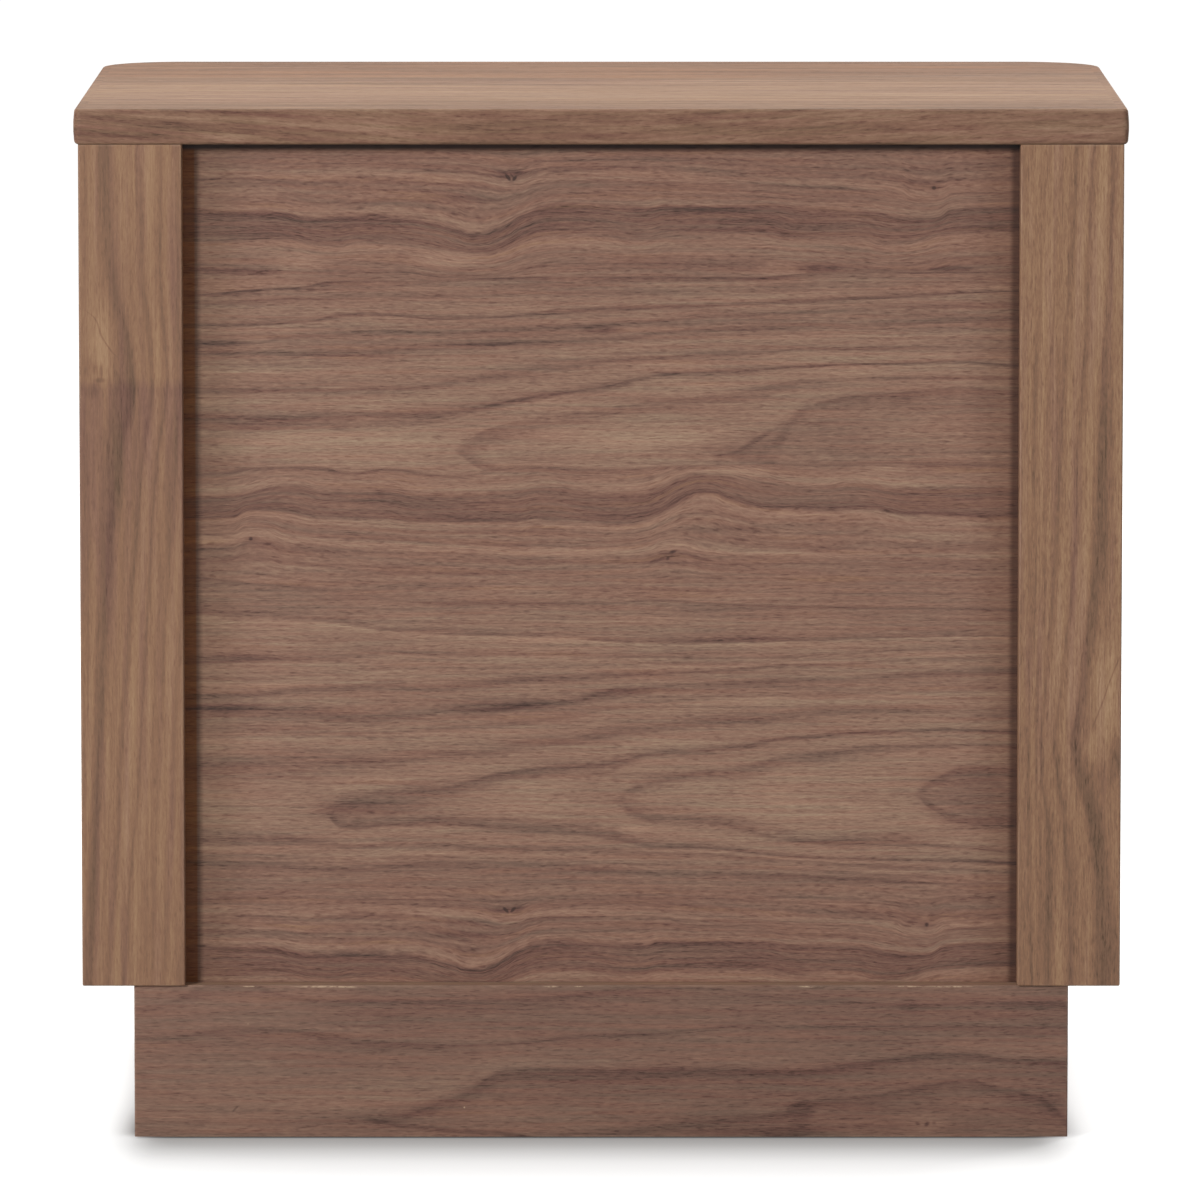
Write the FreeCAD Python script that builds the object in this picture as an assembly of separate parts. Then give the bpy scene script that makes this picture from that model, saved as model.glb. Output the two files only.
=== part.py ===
import FreeCAD, Part
import os

# Bedside cabinet with two drawers: a slab top with rounded front corners, thick framed sides
# with square rear stiles, a recessed rear panel and a set-in plinth.
# Millimetres. X is the width, the drawers open towards -Y, +Z is up, and the origin lies on
# the floor under the middle of the top. "Left" is the -X side, as seen by a person at the drawers.

Vector = FreeCAD.Vector
os.makedirs("parts", exist_ok=True)

# Top
top_width = 560.0
top_depth = 380.0
top_thickness = 19.0
top_front_corner_radius = 45.0
top_rear_corner_radius = 4.0
top_upper_arris = 1.5
top_lower_arris = 2.2
top_edge_camber = 0.7       # the edge bulges by this much between its arrises
lipping_width = 6.0
top_overhang = 2.5          # past the sides and the front
top_rear_overhang = 1.5

# Body
body_height = 451.0
side_thickness = 55.0
front_post_depth = 60.0
rear_post_depth = 40.0
post_arris = 1.0
side_panel_thickness = 12.0
core_rail_height = 45.0
back_panel_thickness = 9.0
back_panel_recess = 14.0    # from the stiles' rear face to the panel's face
back_panel_groove_depth = 6.0
back_panel_foot_gap = 0.2
bottom_panel_thickness = 15.0
rail_thickness = 18.0
rail_depth = 60.0
rail_setback = 50.0         # room for the fingers behind a drawer front's face

# Plinth
plinth_board_height = 82.0
plinth_board_thickness = 18.0
plinth_side_setback = 27.5
plinth_rear_setback = 3.0
plinth_front_setback = 27.0
plinth_arris = 1.0
plinth_screw_side_inset = 12.0      # from the end of the case floor
plinth_screw_board_inset = 12.0     # from the plinth's front or rear board
corner_block_leg = 38.0
centre_bearer_height = 64.0
glide_standoff = 1.0
glide_radius = 8.0
glide_body_height = 4.0
glide_nail_radius = 1.2
glide_nail_length = 14.0

# Drawers
drawer_front_thickness = 19.0
drawer_front_recess = 1.0
drawer_side_gap = 2.0
drawer_foot_gap = 3.0
finger_gap = 16.0
finger_chamfer = 10.0
drawer_front_arris = 1.5
box_height = 140.0
box_wall = 12.0
drawer_rear_gap = 33.0      # from a drawer box to the rear panel
box_lift = 15.0             # box bottom above the foot of its front
box_floor_thickness = 6.0
box_floor_lift = 10.0
box_groove_depth = 5.0
tails_per_corner = 4
tail_tip_share = 0.66       # of one tail's pitch
tail_root_share = 0.50

# Ball-bearing runners
runner_height = 45.0
runner_depth = 12.7
runner_steel = 1.2
runner_lip = 1.0
runner_tip_gap = 1.5        # from the outer channels' tips to the drawer side
ball_radius = 1.6
ball_clearance = 0.1
balls_per_row = 6
cage_length = 120.0
cage_steel = 0.6
cage_gap = 0.4
cage_end_margin = 10.0

# Joining parts
dowel_radius = 4.0
dowel_length = 30.0
dowel_depth_in_side = 10.0
core_dowel_spacing = 22.0
cam_radius = 7.5
cam_height = 12.0
cam_distance = 24.0         # from the panel's end to the cam's centre
cam_slot_length = 7.6
cam_slot_width = 1.2
cam_slot_depth = 1.3
cam_bolt_radius = 3.0
cam_bolt_neck_radius = 2.0
cam_bolt_depth = 10.0
cam_bolt_head_radius = 3.4
cam_bolt_head_length = 3.0
cam_mouth_radius = 3.8
rail_fixing_spacing = 28.0
bottom_fixing_inset = 35.0
screw_radius = 2.0
screw_head_radius = 3.8
screw_head_height = 2.4
screw_point_length = 3.0
screw_point_radius = 0.5
screw_socket_radius = 1.2
screw_socket_depth = 1.3
top_screw_length = 30.0
top_screw_inset = 90.0      # from the end of a rail
plinth_screw_length = 45.0
front_screw_length = 26.0
front_screw_inset = 50.0
front_screw_height_inset = 30.0
runner_screw_length = 11.0
runner_screw_radius = 1.75
runner_screw_head_radius = 3.2
runner_screw_head_height = 1.6
runner_screw_inset = 35.0

# Fits
hole_clearance = 0.1
slot_clearance = 0.2
panel_clearance = 0.3
same_place = 0.001          # an edge nearer than this to a plane lies on it
cut_overrun = 1.0

# Of a quarter circle's radius: from its middle to each of the two straight sides it joins
quarter_turn_share = 1 - 0.5 ** 0.5

# Places that follow from the sizes
body_half = top_width / 2 - top_overhang
opening_half = body_half - side_thickness
body_front = -top_depth / 2 + top_overhang
body_rear = top_depth / 2 - top_rear_overhang
body_bottom = glide_standoff + plinth_board_height
body_top = body_bottom + body_height
total_height = body_top + top_thickness
front_post_rear = body_front + front_post_depth
rear_post_front = body_rear - rear_post_depth
core_outer = body_half - side_panel_thickness
core_inner = opening_half + side_panel_thickness
core_middle = (core_outer + core_inner) / 2
back_panel_rear = body_rear - back_panel_recess
back_panel_front = back_panel_rear - back_panel_thickness
drawer_face = body_front + drawer_front_recess
drawer_front_rear = drawer_face + drawer_front_thickness
rail_front = body_front + rail_setback
rail_rear = rail_front + rail_depth
rear_rail_rear = rear_post_front
rear_rail_front = rear_rail_rear - rail_depth
bottom_panel_front = drawer_front_rear + drawer_side_gap
bottom_panel_rear = back_panel_front - panel_clearance
front_height = (body_height - drawer_foot_gap - 2 * finger_gap) / 2
box_half = opening_half - runner_depth
box_front_rear = drawer_front_rear + box_wall
box_rear = back_panel_front - drawer_rear_gap
box_back_front = box_rear - box_wall
lower_front_foot = body_bottom + drawer_foot_gap
upper_front_foot = lower_front_foot + front_height + finger_gap
front_foots = {"lower": lower_front_foot, "upper": upper_front_foot}
middle_rail_foot = upper_front_foot - (finger_gap + rail_thickness) / 2
plinth_half = body_half - plinth_side_setback
plinth_rear = body_rear - plinth_rear_setback
plinth_front = body_front + plinth_front_setback


# Plain shapes

def box(x0, x1, y0, y1, z0, z1):
    """A block from its lowest to its highest corner."""
    return Part.makeBox(x1 - x0, y1 - y0, z1 - z0, Vector(x0, y0, z0))


def rod(start, direction, radius, length):
    return Part.makeCylinder(radius, length, start, direction)


def prism(points, travel):
    """A closed outline of straight runs, pushed along a vector."""
    face = Part.Face(Part.makePolygon(points + points[:1]))
    return face.extrude(travel)


def mirrored(shape):
    """The same piece for the other side of the cabinet."""
    return shape.mirror(Vector(0, 0, 0), Vector(1, 0, 0))


def edges_at(shape, x=None, y=None, z=None):
    """The edges that lie wholly at the given places."""
    found = []
    for edge in shape.Edges:
        b = edge.BoundBox
        spans = ((x, b.XMin, b.XMax), (y, b.YMin, b.YMax), (z, b.ZMin, b.ZMax))
        if all(p is None or max(abs(lo - p), abs(hi - p)) < same_place for p, lo, hi in spans):
            found.append(edge)
    return found


def write(name, shapes):
    """One STEP for one named piece, or for a group of like pieces."""
    solids = [solid for shape in shapes for solid in shape.Solids]
    whole = solids[0] if len(solids) == 1 else Part.makeCompound(solids)
    whole.exportStep(f"parts/{name}.step")


# Fasteners. Each gives the piece, and the hole that it needs where clearance isn't zero.

def pan_head_screw(head_seat, direction, length, clearance=0.0):
    """A wood screw whose head stands on head_seat and whose point lies along direction."""
    radius = screw_radius + clearance
    straight = length - screw_point_length
    shank = rod(head_seat, direction, radius, straight)
    point_start = head_seat + direction * straight
    point_radius = screw_point_radius + clearance
    point = Part.makeCone(radius, point_radius, screw_point_length + clearance, point_start, direction)
    head = rod(head_seat, -direction, screw_head_radius + clearance, screw_head_height + clearance)
    screw = shank.fuse([point, head]).removeSplitter()
    if clearance == 0:
        socket_start = head_seat - direction * screw_head_height
        screw = screw.cut(rod(socket_start, direction, screw_socket_radius, screw_socket_depth))
    return screw


def flush_screw(face, direction, clearance=0.0):
    """A runner screw whose countersunk head ends flush in the face that it is driven through."""
    radius = runner_screw_radius + clearance
    head = Part.makeCone(
        runner_screw_head_radius + clearance, radius, runner_screw_head_height, face, direction
    )
    shank = rod(face, direction, radius, runner_screw_length + clearance)
    return head.fuse(shank).removeSplitter()


def dowel(centre, direction, clearance=0.0):
    length = dowel_length + 2 * clearance
    return rod(centre - direction * (length / 2), direction, dowel_radius + clearance, length)


def cam_bolt(face_x, y, z, inward, clearance=0.0):
    """A bolt screwed into a side at face_x, with its head reaching inward to the cam."""
    neck_length = cam_distance - cam_bolt_head_length / 2
    thread = rod(Vector(face_x, y, z), -inward, cam_bolt_radius + clearance, cam_bolt_depth + clearance)
    neck = rod(Vector(face_x, y, z), inward, cam_bolt_neck_radius + clearance, neck_length)
    head = rod(
        Vector(face_x, y, z) + inward * neck_length,
        inward,
        cam_bolt_head_radius + clearance,
        cam_bolt_head_length + clearance,
    )
    return thread.fuse([neck, head]).removeSplitter()


def cam_lock(face_x, y, z_open, inward, clearance=0.0):
    """A round cam let up into the underside of a board."""
    centre = Vector(face_x, y, z_open) + inward * cam_distance
    return rod(centre, Vector(0, 0, 1), cam_radius + clearance, cam_height + clearance)


# Top

def top_outline(inset, front_radius, rear_radius):
    """The plan of the top, drawn in by inset: long radii at the front, small ones at the rear."""
    half = top_width / 2 - inset
    front = -top_depth / 2 + inset
    rear = top_depth / 2 - inset
    z = body_top
    edges = []
    corners = [
        (-1, front, 1, front_radius),
        (1, front, 1, front_radius),
        (1, rear, -1, rear_radius),
        (-1, rear, -1, rear_radius),
    ]
    starts = []
    for index, (side, y, into, radius) in enumerate(corners):
        along_y = Vector(side * half, y + into * radius, z)
        along_x = Vector(side * half - side * radius, y, z)
        first, last = (along_y, along_x) if index % 2 == 0 else (along_x, along_y)
        diagonal = radius * quarter_turn_share
        middle = Vector(side * (half - diagonal), y + into * diagonal, z)
        starts.append((first, middle, last, radius))
    for index, (first, middle, last, radius) in enumerate(starts):
        if radius > 0:
            edges.append(Part.Arc(first, middle, last).toShape())
        following = starts[(index + 1) % len(starts)][0]
        edges.append(Part.LineSegment(last, following).toShape())
    return Part.Face(Part.Wire(edges))


def top_core():
    """The board inside the lipping. Its rear corners are square where the lipping is the wider."""
    rear_radius = max(top_rear_corner_radius - lipping_width, 0)
    outline = top_outline(lipping_width, top_front_corner_radius - lipping_width, rear_radius)
    return outline.extrude(Vector(0, 0, top_thickness))


def top_slab():
    return top_core().cut(top_screws(hole_clearance))


def top_lipping():
    """The solid band around the slab: its edge bulges a little, and its two arrises are eased."""
    sections = []
    for rise, inset in ((0, top_edge_camber), (top_thickness / 2, 0), (top_thickness, top_edge_camber)):
        outline = top_outline(inset, top_front_corner_radius - inset, top_rear_corner_radius - inset)
        sections.append(outline.OuterWire.translated(Vector(0, 0, rise)))
    band = Part.makeLoft(sections, True)
    band = band.makeFillet(top_upper_arris, edges_at(band, z=total_height))
    band = band.makeFillet(top_lower_arris, edges_at(band, z=body_top))
    return band.cut(top_core())


# Sides, made for the left and mirrored for the right

def core_rail_foots():
    """Blocking at the foot and head of a side, and behind each runner."""
    runner_foots = [runner_middle(name) - core_rail_height / 2 for name in front_foots]
    return [body_bottom, *runner_foots, body_top - core_rail_height]


def side_frame_dowels(clearance=0.0):
    """Two dowels at each end of each core rail."""
    along = Vector(0, 1, 0)
    places = []
    for foot in core_rail_foots():
        middle = foot + core_rail_height / 2
        for z in (middle - core_dowel_spacing / 2, middle + core_dowel_spacing / 2):
            for y in (front_post_rear, rear_post_front):
                places.append(Vector(-core_middle, y, z))
    return [dowel(place, along, clearance) for place in places]


def core_rails():
    rails = []
    for foot in core_rail_foots():
        rail = box(
            -core_outer, -core_inner, front_post_rear, rear_post_front, foot, foot + core_rail_height
        )
        rails.append(rail.cut(side_frame_dowels(hole_clearance)))
    return rails


def front_post():
    """The corner post, with the top's rounding, drawn in by the overhang."""
    radius = top_front_corner_radius - top_overhang
    z = body_bottom
    rear_outer = Vector(-body_half, front_post_rear, z)
    arc_start = Vector(-body_half, body_front + radius, z)
    diagonal = radius * quarter_turn_share
    arc_middle = Vector(-body_half + diagonal, body_front + diagonal, z)
    arc_end = Vector(-body_half + radius, body_front, z)
    front_inner = Vector(-opening_half, body_front, z)
    rear_inner = Vector(-opening_half, front_post_rear, z)
    wire = Part.Wire([
        Part.LineSegment(rear_outer, arc_start).toShape(),
        Part.Arc(arc_start, arc_middle, arc_end).toShape(),
        Part.LineSegment(arc_end, front_inner).toShape(),
        Part.LineSegment(front_inner, rear_inner).toShape(),
        Part.LineSegment(rear_inner, rear_outer).toShape(),
    ])
    post = Part.Face(wire).extrude(Vector(0, 0, body_height))
    rear_edges = edges_at(post, y=front_post_rear, z=body_bottom)
    eased = edges_at(post, x=-opening_half, y=body_front)
    eased += [e for e in edges_at(post, z=body_bottom) if not any(e.isSame(r) for r in rear_edges)]
    holes = side_frame_dowels(hole_clearance) + cabinet_runner_screws(hole_clearance)
    return post.makeFillet(post_arris, eased).cut(holes)


def rear_post():
    """The square stile at the rear, grooved for the rear panel."""
    post = box(-body_half, -opening_half, rear_post_front, body_rear, body_bottom, body_top)
    eased = edges_at(post, x=-opening_half, y=body_rear)
    eased += edges_at(post, x=-body_half, y=body_rear)
    eased += edges_at(post, y=body_rear, z=body_bottom)
    eased += edges_at(post, x=-body_half, z=body_bottom)
    eased += edges_at(post, x=-opening_half, z=body_bottom)
    post = post.makeFillet(post_arris, eased)
    groove = box(
        -opening_half - back_panel_groove_depth,
        -opening_half + cut_overrun,
        back_panel_front - slot_clearance / 2,
        back_panel_rear + slot_clearance / 2,
        body_bottom - cut_overrun,
        body_top + cut_overrun,
    )
    return post.cut([groove, *side_frame_dowels(hole_clearance)])


def outer_panel():
    panel = box(-body_half, -core_outer, front_post_rear, rear_post_front, body_bottom, body_top)
    return panel.makeFillet(post_arris, edges_at(panel, x=-body_half, z=body_bottom))


def inner_panel():
    panel = box(-core_inner, -opening_half, front_post_rear, rear_post_front, body_bottom, body_top)
    holes = rail_dowels(hole_clearance) + cam_bolts(hole_clearance)
    holes += cabinet_runner_screws(hole_clearance)
    return panel.cut(holes)


# Boards between the sides

def rail_specs():
    """Each rail's front, rear and foot."""
    return {
        "top_front_rail": (rail_front, rail_rear, body_top - rail_thickness),
        "top_rear_rail": (rear_rail_front, rear_rail_rear, body_top - rail_thickness),
        "middle_rail": (rail_front, rail_rear, middle_rail_foot),
    }


def cam_places():
    """(y, middle of the board, underside of the board) for each cam joint of one side."""
    places = []
    for front, rear, foot in rail_specs().values():
        y = (front + rear) / 2 + rail_fixing_spacing / 2
        places.append((y, foot + rail_thickness / 2, foot))
    bottom_middle = body_bottom + bottom_panel_thickness / 2
    for y in (front_post_rear + bottom_fixing_inset, rear_post_front - bottom_fixing_inset):
        places.append((y, bottom_middle, body_bottom))
    return places


def dowel_places():
    """(y, middle of the board) for each dowel of one side."""
    places = []
    for front, rear, foot in rail_specs().values():
        places.append(((front + rear) / 2 - rail_fixing_spacing / 2, foot + rail_thickness / 2))
    bottom_middle = body_bottom + bottom_panel_thickness / 2
    span = rear_post_front - front_post_rear - 2 * bottom_fixing_inset
    for step in (1, 2):
        places.append((front_post_rear + bottom_fixing_inset + step * span / 3, bottom_middle))
    return places


def rail_dowels(clearance=0.0):
    centre_x = -opening_half - dowel_depth_in_side + dowel_length / 2
    left = [dowel(Vector(centre_x, y, z), Vector(1, 0, 0), clearance) for y, z in dowel_places()]
    return left + [mirrored(d) for d in left]


def cam_bolts(clearance=0.0):
    inward = Vector(1, 0, 0)
    left = [cam_bolt(-opening_half, y, z, inward, clearance) for y, z, foot in cam_places()]
    return left + [mirrored(b) for b in left]


def cam_mouth(y, z):
    """The hollow in a cam that takes the bolt's head, open towards the left side."""
    start = Vector(-opening_half + cam_distance - cam_radius - cut_overrun, y, z)
    length = cam_radius + cut_overrun + cam_bolt_head_length
    return rod(start, Vector(1, 0, 0), cam_mouth_radius, length)


def cam_locks(clearance=0.0):
    inward = Vector(1, 0, 0)
    left = []
    for y, z, foot in cam_places():
        lock = cam_lock(-opening_half, y, foot, inward, clearance)
        if clearance == 0:
            slot = box(
                -opening_half + cam_distance - cam_slot_length / 2,
                -opening_half + cam_distance + cam_slot_length / 2,
                y - cam_slot_width / 2,
                y + cam_slot_width / 2,
                foot,
                foot + cam_slot_depth,
            )
            lock = lock.cut([cam_mouth(y, z), slot])
        left.append(lock)
    return left + [mirrored(c) for c in left]


def joint_holes():
    return rail_dowels(hole_clearance) + cam_bolts(hole_clearance) + cam_locks(hole_clearance)


def rail(name):
    front, rear, foot = rail_specs()[name]
    board = box(-opening_half, opening_half, front, rear, foot, foot + rail_thickness)
    return board.cut(joint_holes() + top_screws(hole_clearance))


def top_screws(clearance=0.0):
    """Screws up through the two upper rails into the top."""
    seat = body_top - rail_thickness + screw_head_height
    screws = []
    for front, rear in ((rail_front, rail_rear), (rear_rail_front, rear_rail_rear)):
        for x in (-opening_half + top_screw_inset, opening_half - top_screw_inset):
            place = Vector(x, (front + rear) / 2, seat)
            screws.append(pan_head_screw(place, Vector(0, 0, 1), top_screw_length, clearance))
    return screws


def bottom_panel():
    board = box(
        -opening_half,
        opening_half,
        bottom_panel_front,
        bottom_panel_rear,
        body_bottom,
        body_bottom + bottom_panel_thickness,
    )
    return board.cut(joint_holes() + plinth_screws(hole_clearance))


def back_panel():
    """The rear panel, held in the stiles' grooves and a hair above the plinth."""
    reach = opening_half + back_panel_groove_depth - panel_clearance
    return box(
        -reach,
        reach,
        back_panel_front,
        back_panel_rear,
        body_bottom + back_panel_foot_gap,
        body_top - panel_clearance,
    )


# Plinth

def plinth_long_board(y0, y1, face):
    """A board the full width of the plinth, its shown corners eased; face is its outer y."""
    board = box(-plinth_half, plinth_half, y0, y1, glide_standoff, body_bottom)
    eased = edges_at(board, x=-plinth_half, y=face) + edges_at(board, x=plinth_half, y=face)
    return board.makeFillet(plinth_arris, eased)


def plinth_side_board():
    return box(
        -plinth_half,
        -plinth_half + plinth_board_thickness,
        plinth_front + plinth_board_thickness,
        plinth_rear - plinth_board_thickness,
        glide_standoff,
        body_bottom,
    )


def centre_bearer():
    return box(
        -plinth_board_thickness / 2,
        plinth_board_thickness / 2,
        plinth_front + plinth_board_thickness,
        plinth_rear - plinth_board_thickness,
        body_bottom - centre_bearer_height,
        body_bottom,
    )


def corner_places():
    """(corner x, corner y, way into the plinth in x, way in y) for the plinth's four inner corners."""
    x = plinth_half - plinth_board_thickness
    front = plinth_front + plinth_board_thickness
    rear = plinth_rear - plinth_board_thickness
    return [(-x, front, 1, 1), (x, front, -1, 1), (-x, rear, 1, -1), (x, rear, -1, -1)]


def block_centre(corner):
    """The centre of the largest circle in a corner block."""
    x, y, into_x, into_y = corner
    inradius = corner_block_leg * quarter_turn_share
    return x + into_x * inradius, y + into_y * inradius


def corner_blocks():
    blocks = []
    for corner in corner_places():
        x, y, into_x, into_y = corner
        outline = [
            Vector(x, y, glide_standoff),
            Vector(x + into_x * corner_block_leg, y, glide_standoff),
            Vector(x, y + into_y * corner_block_leg, glide_standoff),
        ]
        block = prism(outline, Vector(0, 0, plinth_board_height))
        blocks.append(block.cut(floor_glides(hole_clearance) + plinth_screws(hole_clearance)))
    return blocks


def floor_glides(clearance=0.0):
    """Nylon discs with a nail, let into the corner blocks and standing a little proud."""
    up = Vector(0, 0, 1)
    glides = []
    for corner in corner_places():
        x, y = block_centre(corner)
        disc = rod(Vector(x, y, 0), up, glide_radius + clearance, glide_body_height + clearance)
        nail_length = glide_body_height + glide_nail_length + clearance
        nail = rod(Vector(x, y, 0), up, glide_nail_radius + clearance, nail_length)
        glides.append(disc.fuse(nail).removeSplitter())
    return glides


def plinth_screws(clearance=0.0):
    """Screws down through the case floor into the corner blocks."""
    seat = body_bottom + bottom_panel_thickness - screw_head_height
    screws = []
    for corner in corner_places():
        x, y, into_x, into_y = corner
        screw_x = -into_x * (opening_half - plinth_screw_side_inset)
        place = Vector(screw_x, y + into_y * plinth_screw_board_inset, seat)
        screws.append(pan_head_screw(place, Vector(0, 0, -1), plinth_screw_length, clearance))
    return screws


# Runners. u runs from the cabinet side (0) to the drawer side (runner_depth), v is height
# from the runner's middle. Each channel is made for the left side.

cabinet_tip = runner_depth - runner_tip_gap
cage_tip = cabinet_tip - runner_steel - cage_gap
ball_gap = 2 * (ball_radius + ball_clearance)
cabinet_flange = runner_height / 2 - runner_steel
outer_ball_height = cabinet_flange - ball_gap / 2
middle_half = cabinet_flange - ball_gap
middle_flange = middle_half - runner_steel
inner_ball_height = middle_flange - ball_gap / 2
drawer_half = middle_flange - ball_gap
outer_cage_web = runner_steel + cage_gap
middle_web = outer_cage_web + cage_steel + cage_gap
inner_cage_web = middle_web + runner_steel + cage_gap
drawer_flange_start = inner_cage_web + cage_steel + cage_gap
runner_ys = (drawer_front_rear, box_rear)
runner_middle_y = sum(runner_ys) / 2
outer_ball_place = (middle_web + cabinet_tip - runner_steel) / 2
inner_ball_place = (drawer_flange_start + cabinet_tip - runner_steel) / 2


def runner_middle(name):
    return front_foots[name] + box_lift + box_height / 2


def runner_bar(name, u0, u1, v0, v1, y0, y1):
    z = runner_middle(name)
    return box(-opening_half + u0, -opening_half + u1, y0, y1, z + v0, z + v1)


def web_and_flanges(name, web_u, flange_us, half, steel, ys):
    """A channel of one steel: its web starts at web_u, its flanges span flange_us inside half."""
    bars = [runner_bar(name, web_u, web_u + steel, -half, half, *ys)]
    for v0, v1 in ((half - steel, half), (-half, -half + steel)):
        bars.append(runner_bar(name, *flange_us, v0, v1, *ys))
    return bars


def lips(name, flange_inside):
    """The turned-in tips that keep the balls in their track."""
    bars = []
    for side in (-1, 1):
        v0, v1 = sorted((side * (flange_inside - runner_lip), side * flange_inside))
        bars.append(runner_bar(name, cabinet_tip - runner_steel, cabinet_tip, v0, v1, *runner_ys))
    return bars


def joined(bars):
    return bars[0].fuse(bars[1:]).removeSplitter()


def cabinet_runner(name):
    bars = web_and_flanges(name, 0, (0, cabinet_tip), runner_height / 2, runner_steel, runner_ys)
    return joined(bars + lips(name, cabinet_flange)).cut(cabinet_runner_screws(hole_clearance))


def middle_runner(name):
    flange_us = (middle_web, cabinet_tip)
    bars = web_and_flanges(name, middle_web, flange_us, middle_half, runner_steel, runner_ys)
    return joined(bars + lips(name, middle_flange))


def drawer_runner(name):
    web_u = runner_depth - runner_steel
    flange_us = (drawer_flange_start, runner_depth)
    bars = web_and_flanges(name, web_u, flange_us, drawer_half, runner_steel, runner_ys)
    return joined(bars).cut(drawer_runner_screws(name, hole_clearance))


def ball_cage(name, web_place, ball_place, ball_height):
    """A folded strip with a row of balls in each flange, halfway along the runner."""
    ys = (runner_middle_y - cage_length / 2, runner_middle_y + cage_length / 2)
    half = ball_height + cage_steel / 2
    cage = joined(web_and_flanges(name, web_place, (web_place, cage_tip), half, cage_steel, ys))
    pitch = (cage_length - 2 * cage_end_margin) / (balls_per_row - 1)
    holes = []
    balls = []
    for row in range(balls_per_row):
        for v in (-ball_height, ball_height):
            y = ys[0] + cage_end_margin + row * pitch
            centre = Vector(-opening_half + ball_place, y, runner_middle(name) + v)
            hole_foot = centre - Vector(0, 0, cage_steel)
            holes.append(rod(hole_foot, Vector(0, 0, 1), ball_radius + ball_clearance, 2 * cage_steel))
            balls.append(Part.makeSphere(ball_radius, centre))
    return [cage.cut(holes), *balls]


def runner_screw_ys():
    front, rear = runner_ys
    return (front + runner_screw_inset, runner_middle_y, rear - runner_screw_inset)


def cabinet_runner_screws(clearance=0.0):
    """Flush screws through the cabinet channels' webs into both sides."""
    left = []
    for name in front_foots:
        for y in runner_screw_ys():
            face = Vector(-opening_half + runner_steel, y, runner_middle(name))
            left.append(flush_screw(face, Vector(-1, 0, 0), clearance))
    return left + [mirrored(s) for s in left]


def drawer_runner_screws(name, clearance=0.0):
    """Flush screws through the drawer channels' webs into the drawer's sides."""
    left = []
    for y in runner_screw_ys():
        face = Vector(-opening_half + runner_depth - runner_steel, y, runner_middle(name))
        left.append(flush_screw(face, Vector(1, 0, 0), clearance))
    return left + [mirrored(s) for s in left]


# Drawers

def box_span(name):
    foot = front_foots[name] + box_lift
    return foot, foot + box_height


def drawer_front(name):
    foot = front_foots[name]
    head = foot + front_height
    half = opening_half - drawer_side_gap
    front = box(-half, half, drawer_face, drawer_front_rear, foot, head)
    front = front.makeChamfer(finger_chamfer, edges_at(front, y=drawer_front_rear, z=head))
    front = front.makeFillet(drawer_front_arris, edges_at(front, y=drawer_face))
    return front.cut(front_screws(name, hole_clearance))


def tails(name, tip_y, root_y):
    """The left side's dovetails at one end, from their wide tips to their roots."""
    foot = box_span(name)[0]
    pitch = box_height / tails_per_corner
    travel = Vector(box_wall, 0, 0)
    shapes = []
    for index in range(tails_per_corner):
        z = foot + (index + 0.5) * pitch
        tip = pitch * tail_tip_share / 2
        root = pitch * tail_root_share / 2
        outline = [
            Vector(-box_half, tip_y, z - tip),
            Vector(-box_half, tip_y, z + tip),
            Vector(-box_half, root_y, z + root),
            Vector(-box_half, root_y, z - root),
        ]
        shapes.append(prism(outline, travel))
    return shapes


def all_left_tails(name):
    return tails(name, drawer_front_rear, box_front_rear) + tails(name, box_rear, box_back_front)


def box_floor(name, clearance=0.0):
    """The drawer's bottom, and the slot that it needs in the four walls."""
    foot = box_span(name)[0] + box_floor_lift
    half = box_half - box_wall + box_groove_depth + clearance
    return box(
        -half,
        half,
        box_front_rear - box_groove_depth - clearance,
        box_back_front + box_groove_depth + clearance,
        foot - clearance,
        foot + box_floor_thickness + clearance,
    )


def box_side(name):
    foot, head = box_span(name)
    side = box(-box_half, -box_half + box_wall, box_front_rear, box_back_front, foot, head)
    side = side.fuse(all_left_tails(name)).removeSplitter()
    return side.cut([box_floor(name, slot_clearance), *drawer_runner_screws(name, hole_clearance)])


def box_end(name, y0, y1):
    """The drawer box's front or back, with sockets for the tails."""
    foot, head = box_span(name)
    end = box(-box_half, box_half, y0, y1, foot, head)
    left_tails = all_left_tails(name)
    end = end.cut(left_tails + [mirrored(t) for t in left_tails])
    return end.cut([box_floor(name, slot_clearance), *front_screws(name, hole_clearance)])


def front_screws(name, clearance=0.0):
    """Screws from inside the drawer box into its front."""
    foot, head = box_span(name)
    screws = []
    for x in (-box_half + front_screw_inset, box_half - front_screw_inset):
        for z in (foot + front_screw_height_inset, head - front_screw_height_inset):
            place = Vector(x, box_front_rear, z)
            screws.append(pan_head_screw(place, Vector(0, -1, 0), front_screw_length, clearance))
    return screws


# Write every piece

def both_sides(name, shape):
    write("left_" + name, [shape])
    write("right_" + name, [mirrored(shape)])


def pair(shapes):
    return shapes + [mirrored(s) for s in shapes]


def make_case():
    write("top_slab", [top_slab()])
    write("top_lipping", [top_lipping()])
    both_sides("front_post", front_post())
    both_sides("rear_post", rear_post())
    both_sides("outer_panel", outer_panel())
    both_sides("inner_panel", inner_panel())
    both_sides("core_rails", Part.makeCompound(core_rails()))
    write("side_frame_dowels", pair(side_frame_dowels()))
    write("back_panel", [back_panel()])
    write("bottom_panel", [bottom_panel()])
    for name in rail_specs():
        write(name, [rail(name)])
    write("rail_dowels", rail_dowels())
    write("cam_bolts", cam_bolts())
    write("cam_locks", cam_locks())
    write("top_screws", top_screws())
    write("cabinet_runner_screws", cabinet_runner_screws())


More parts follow.
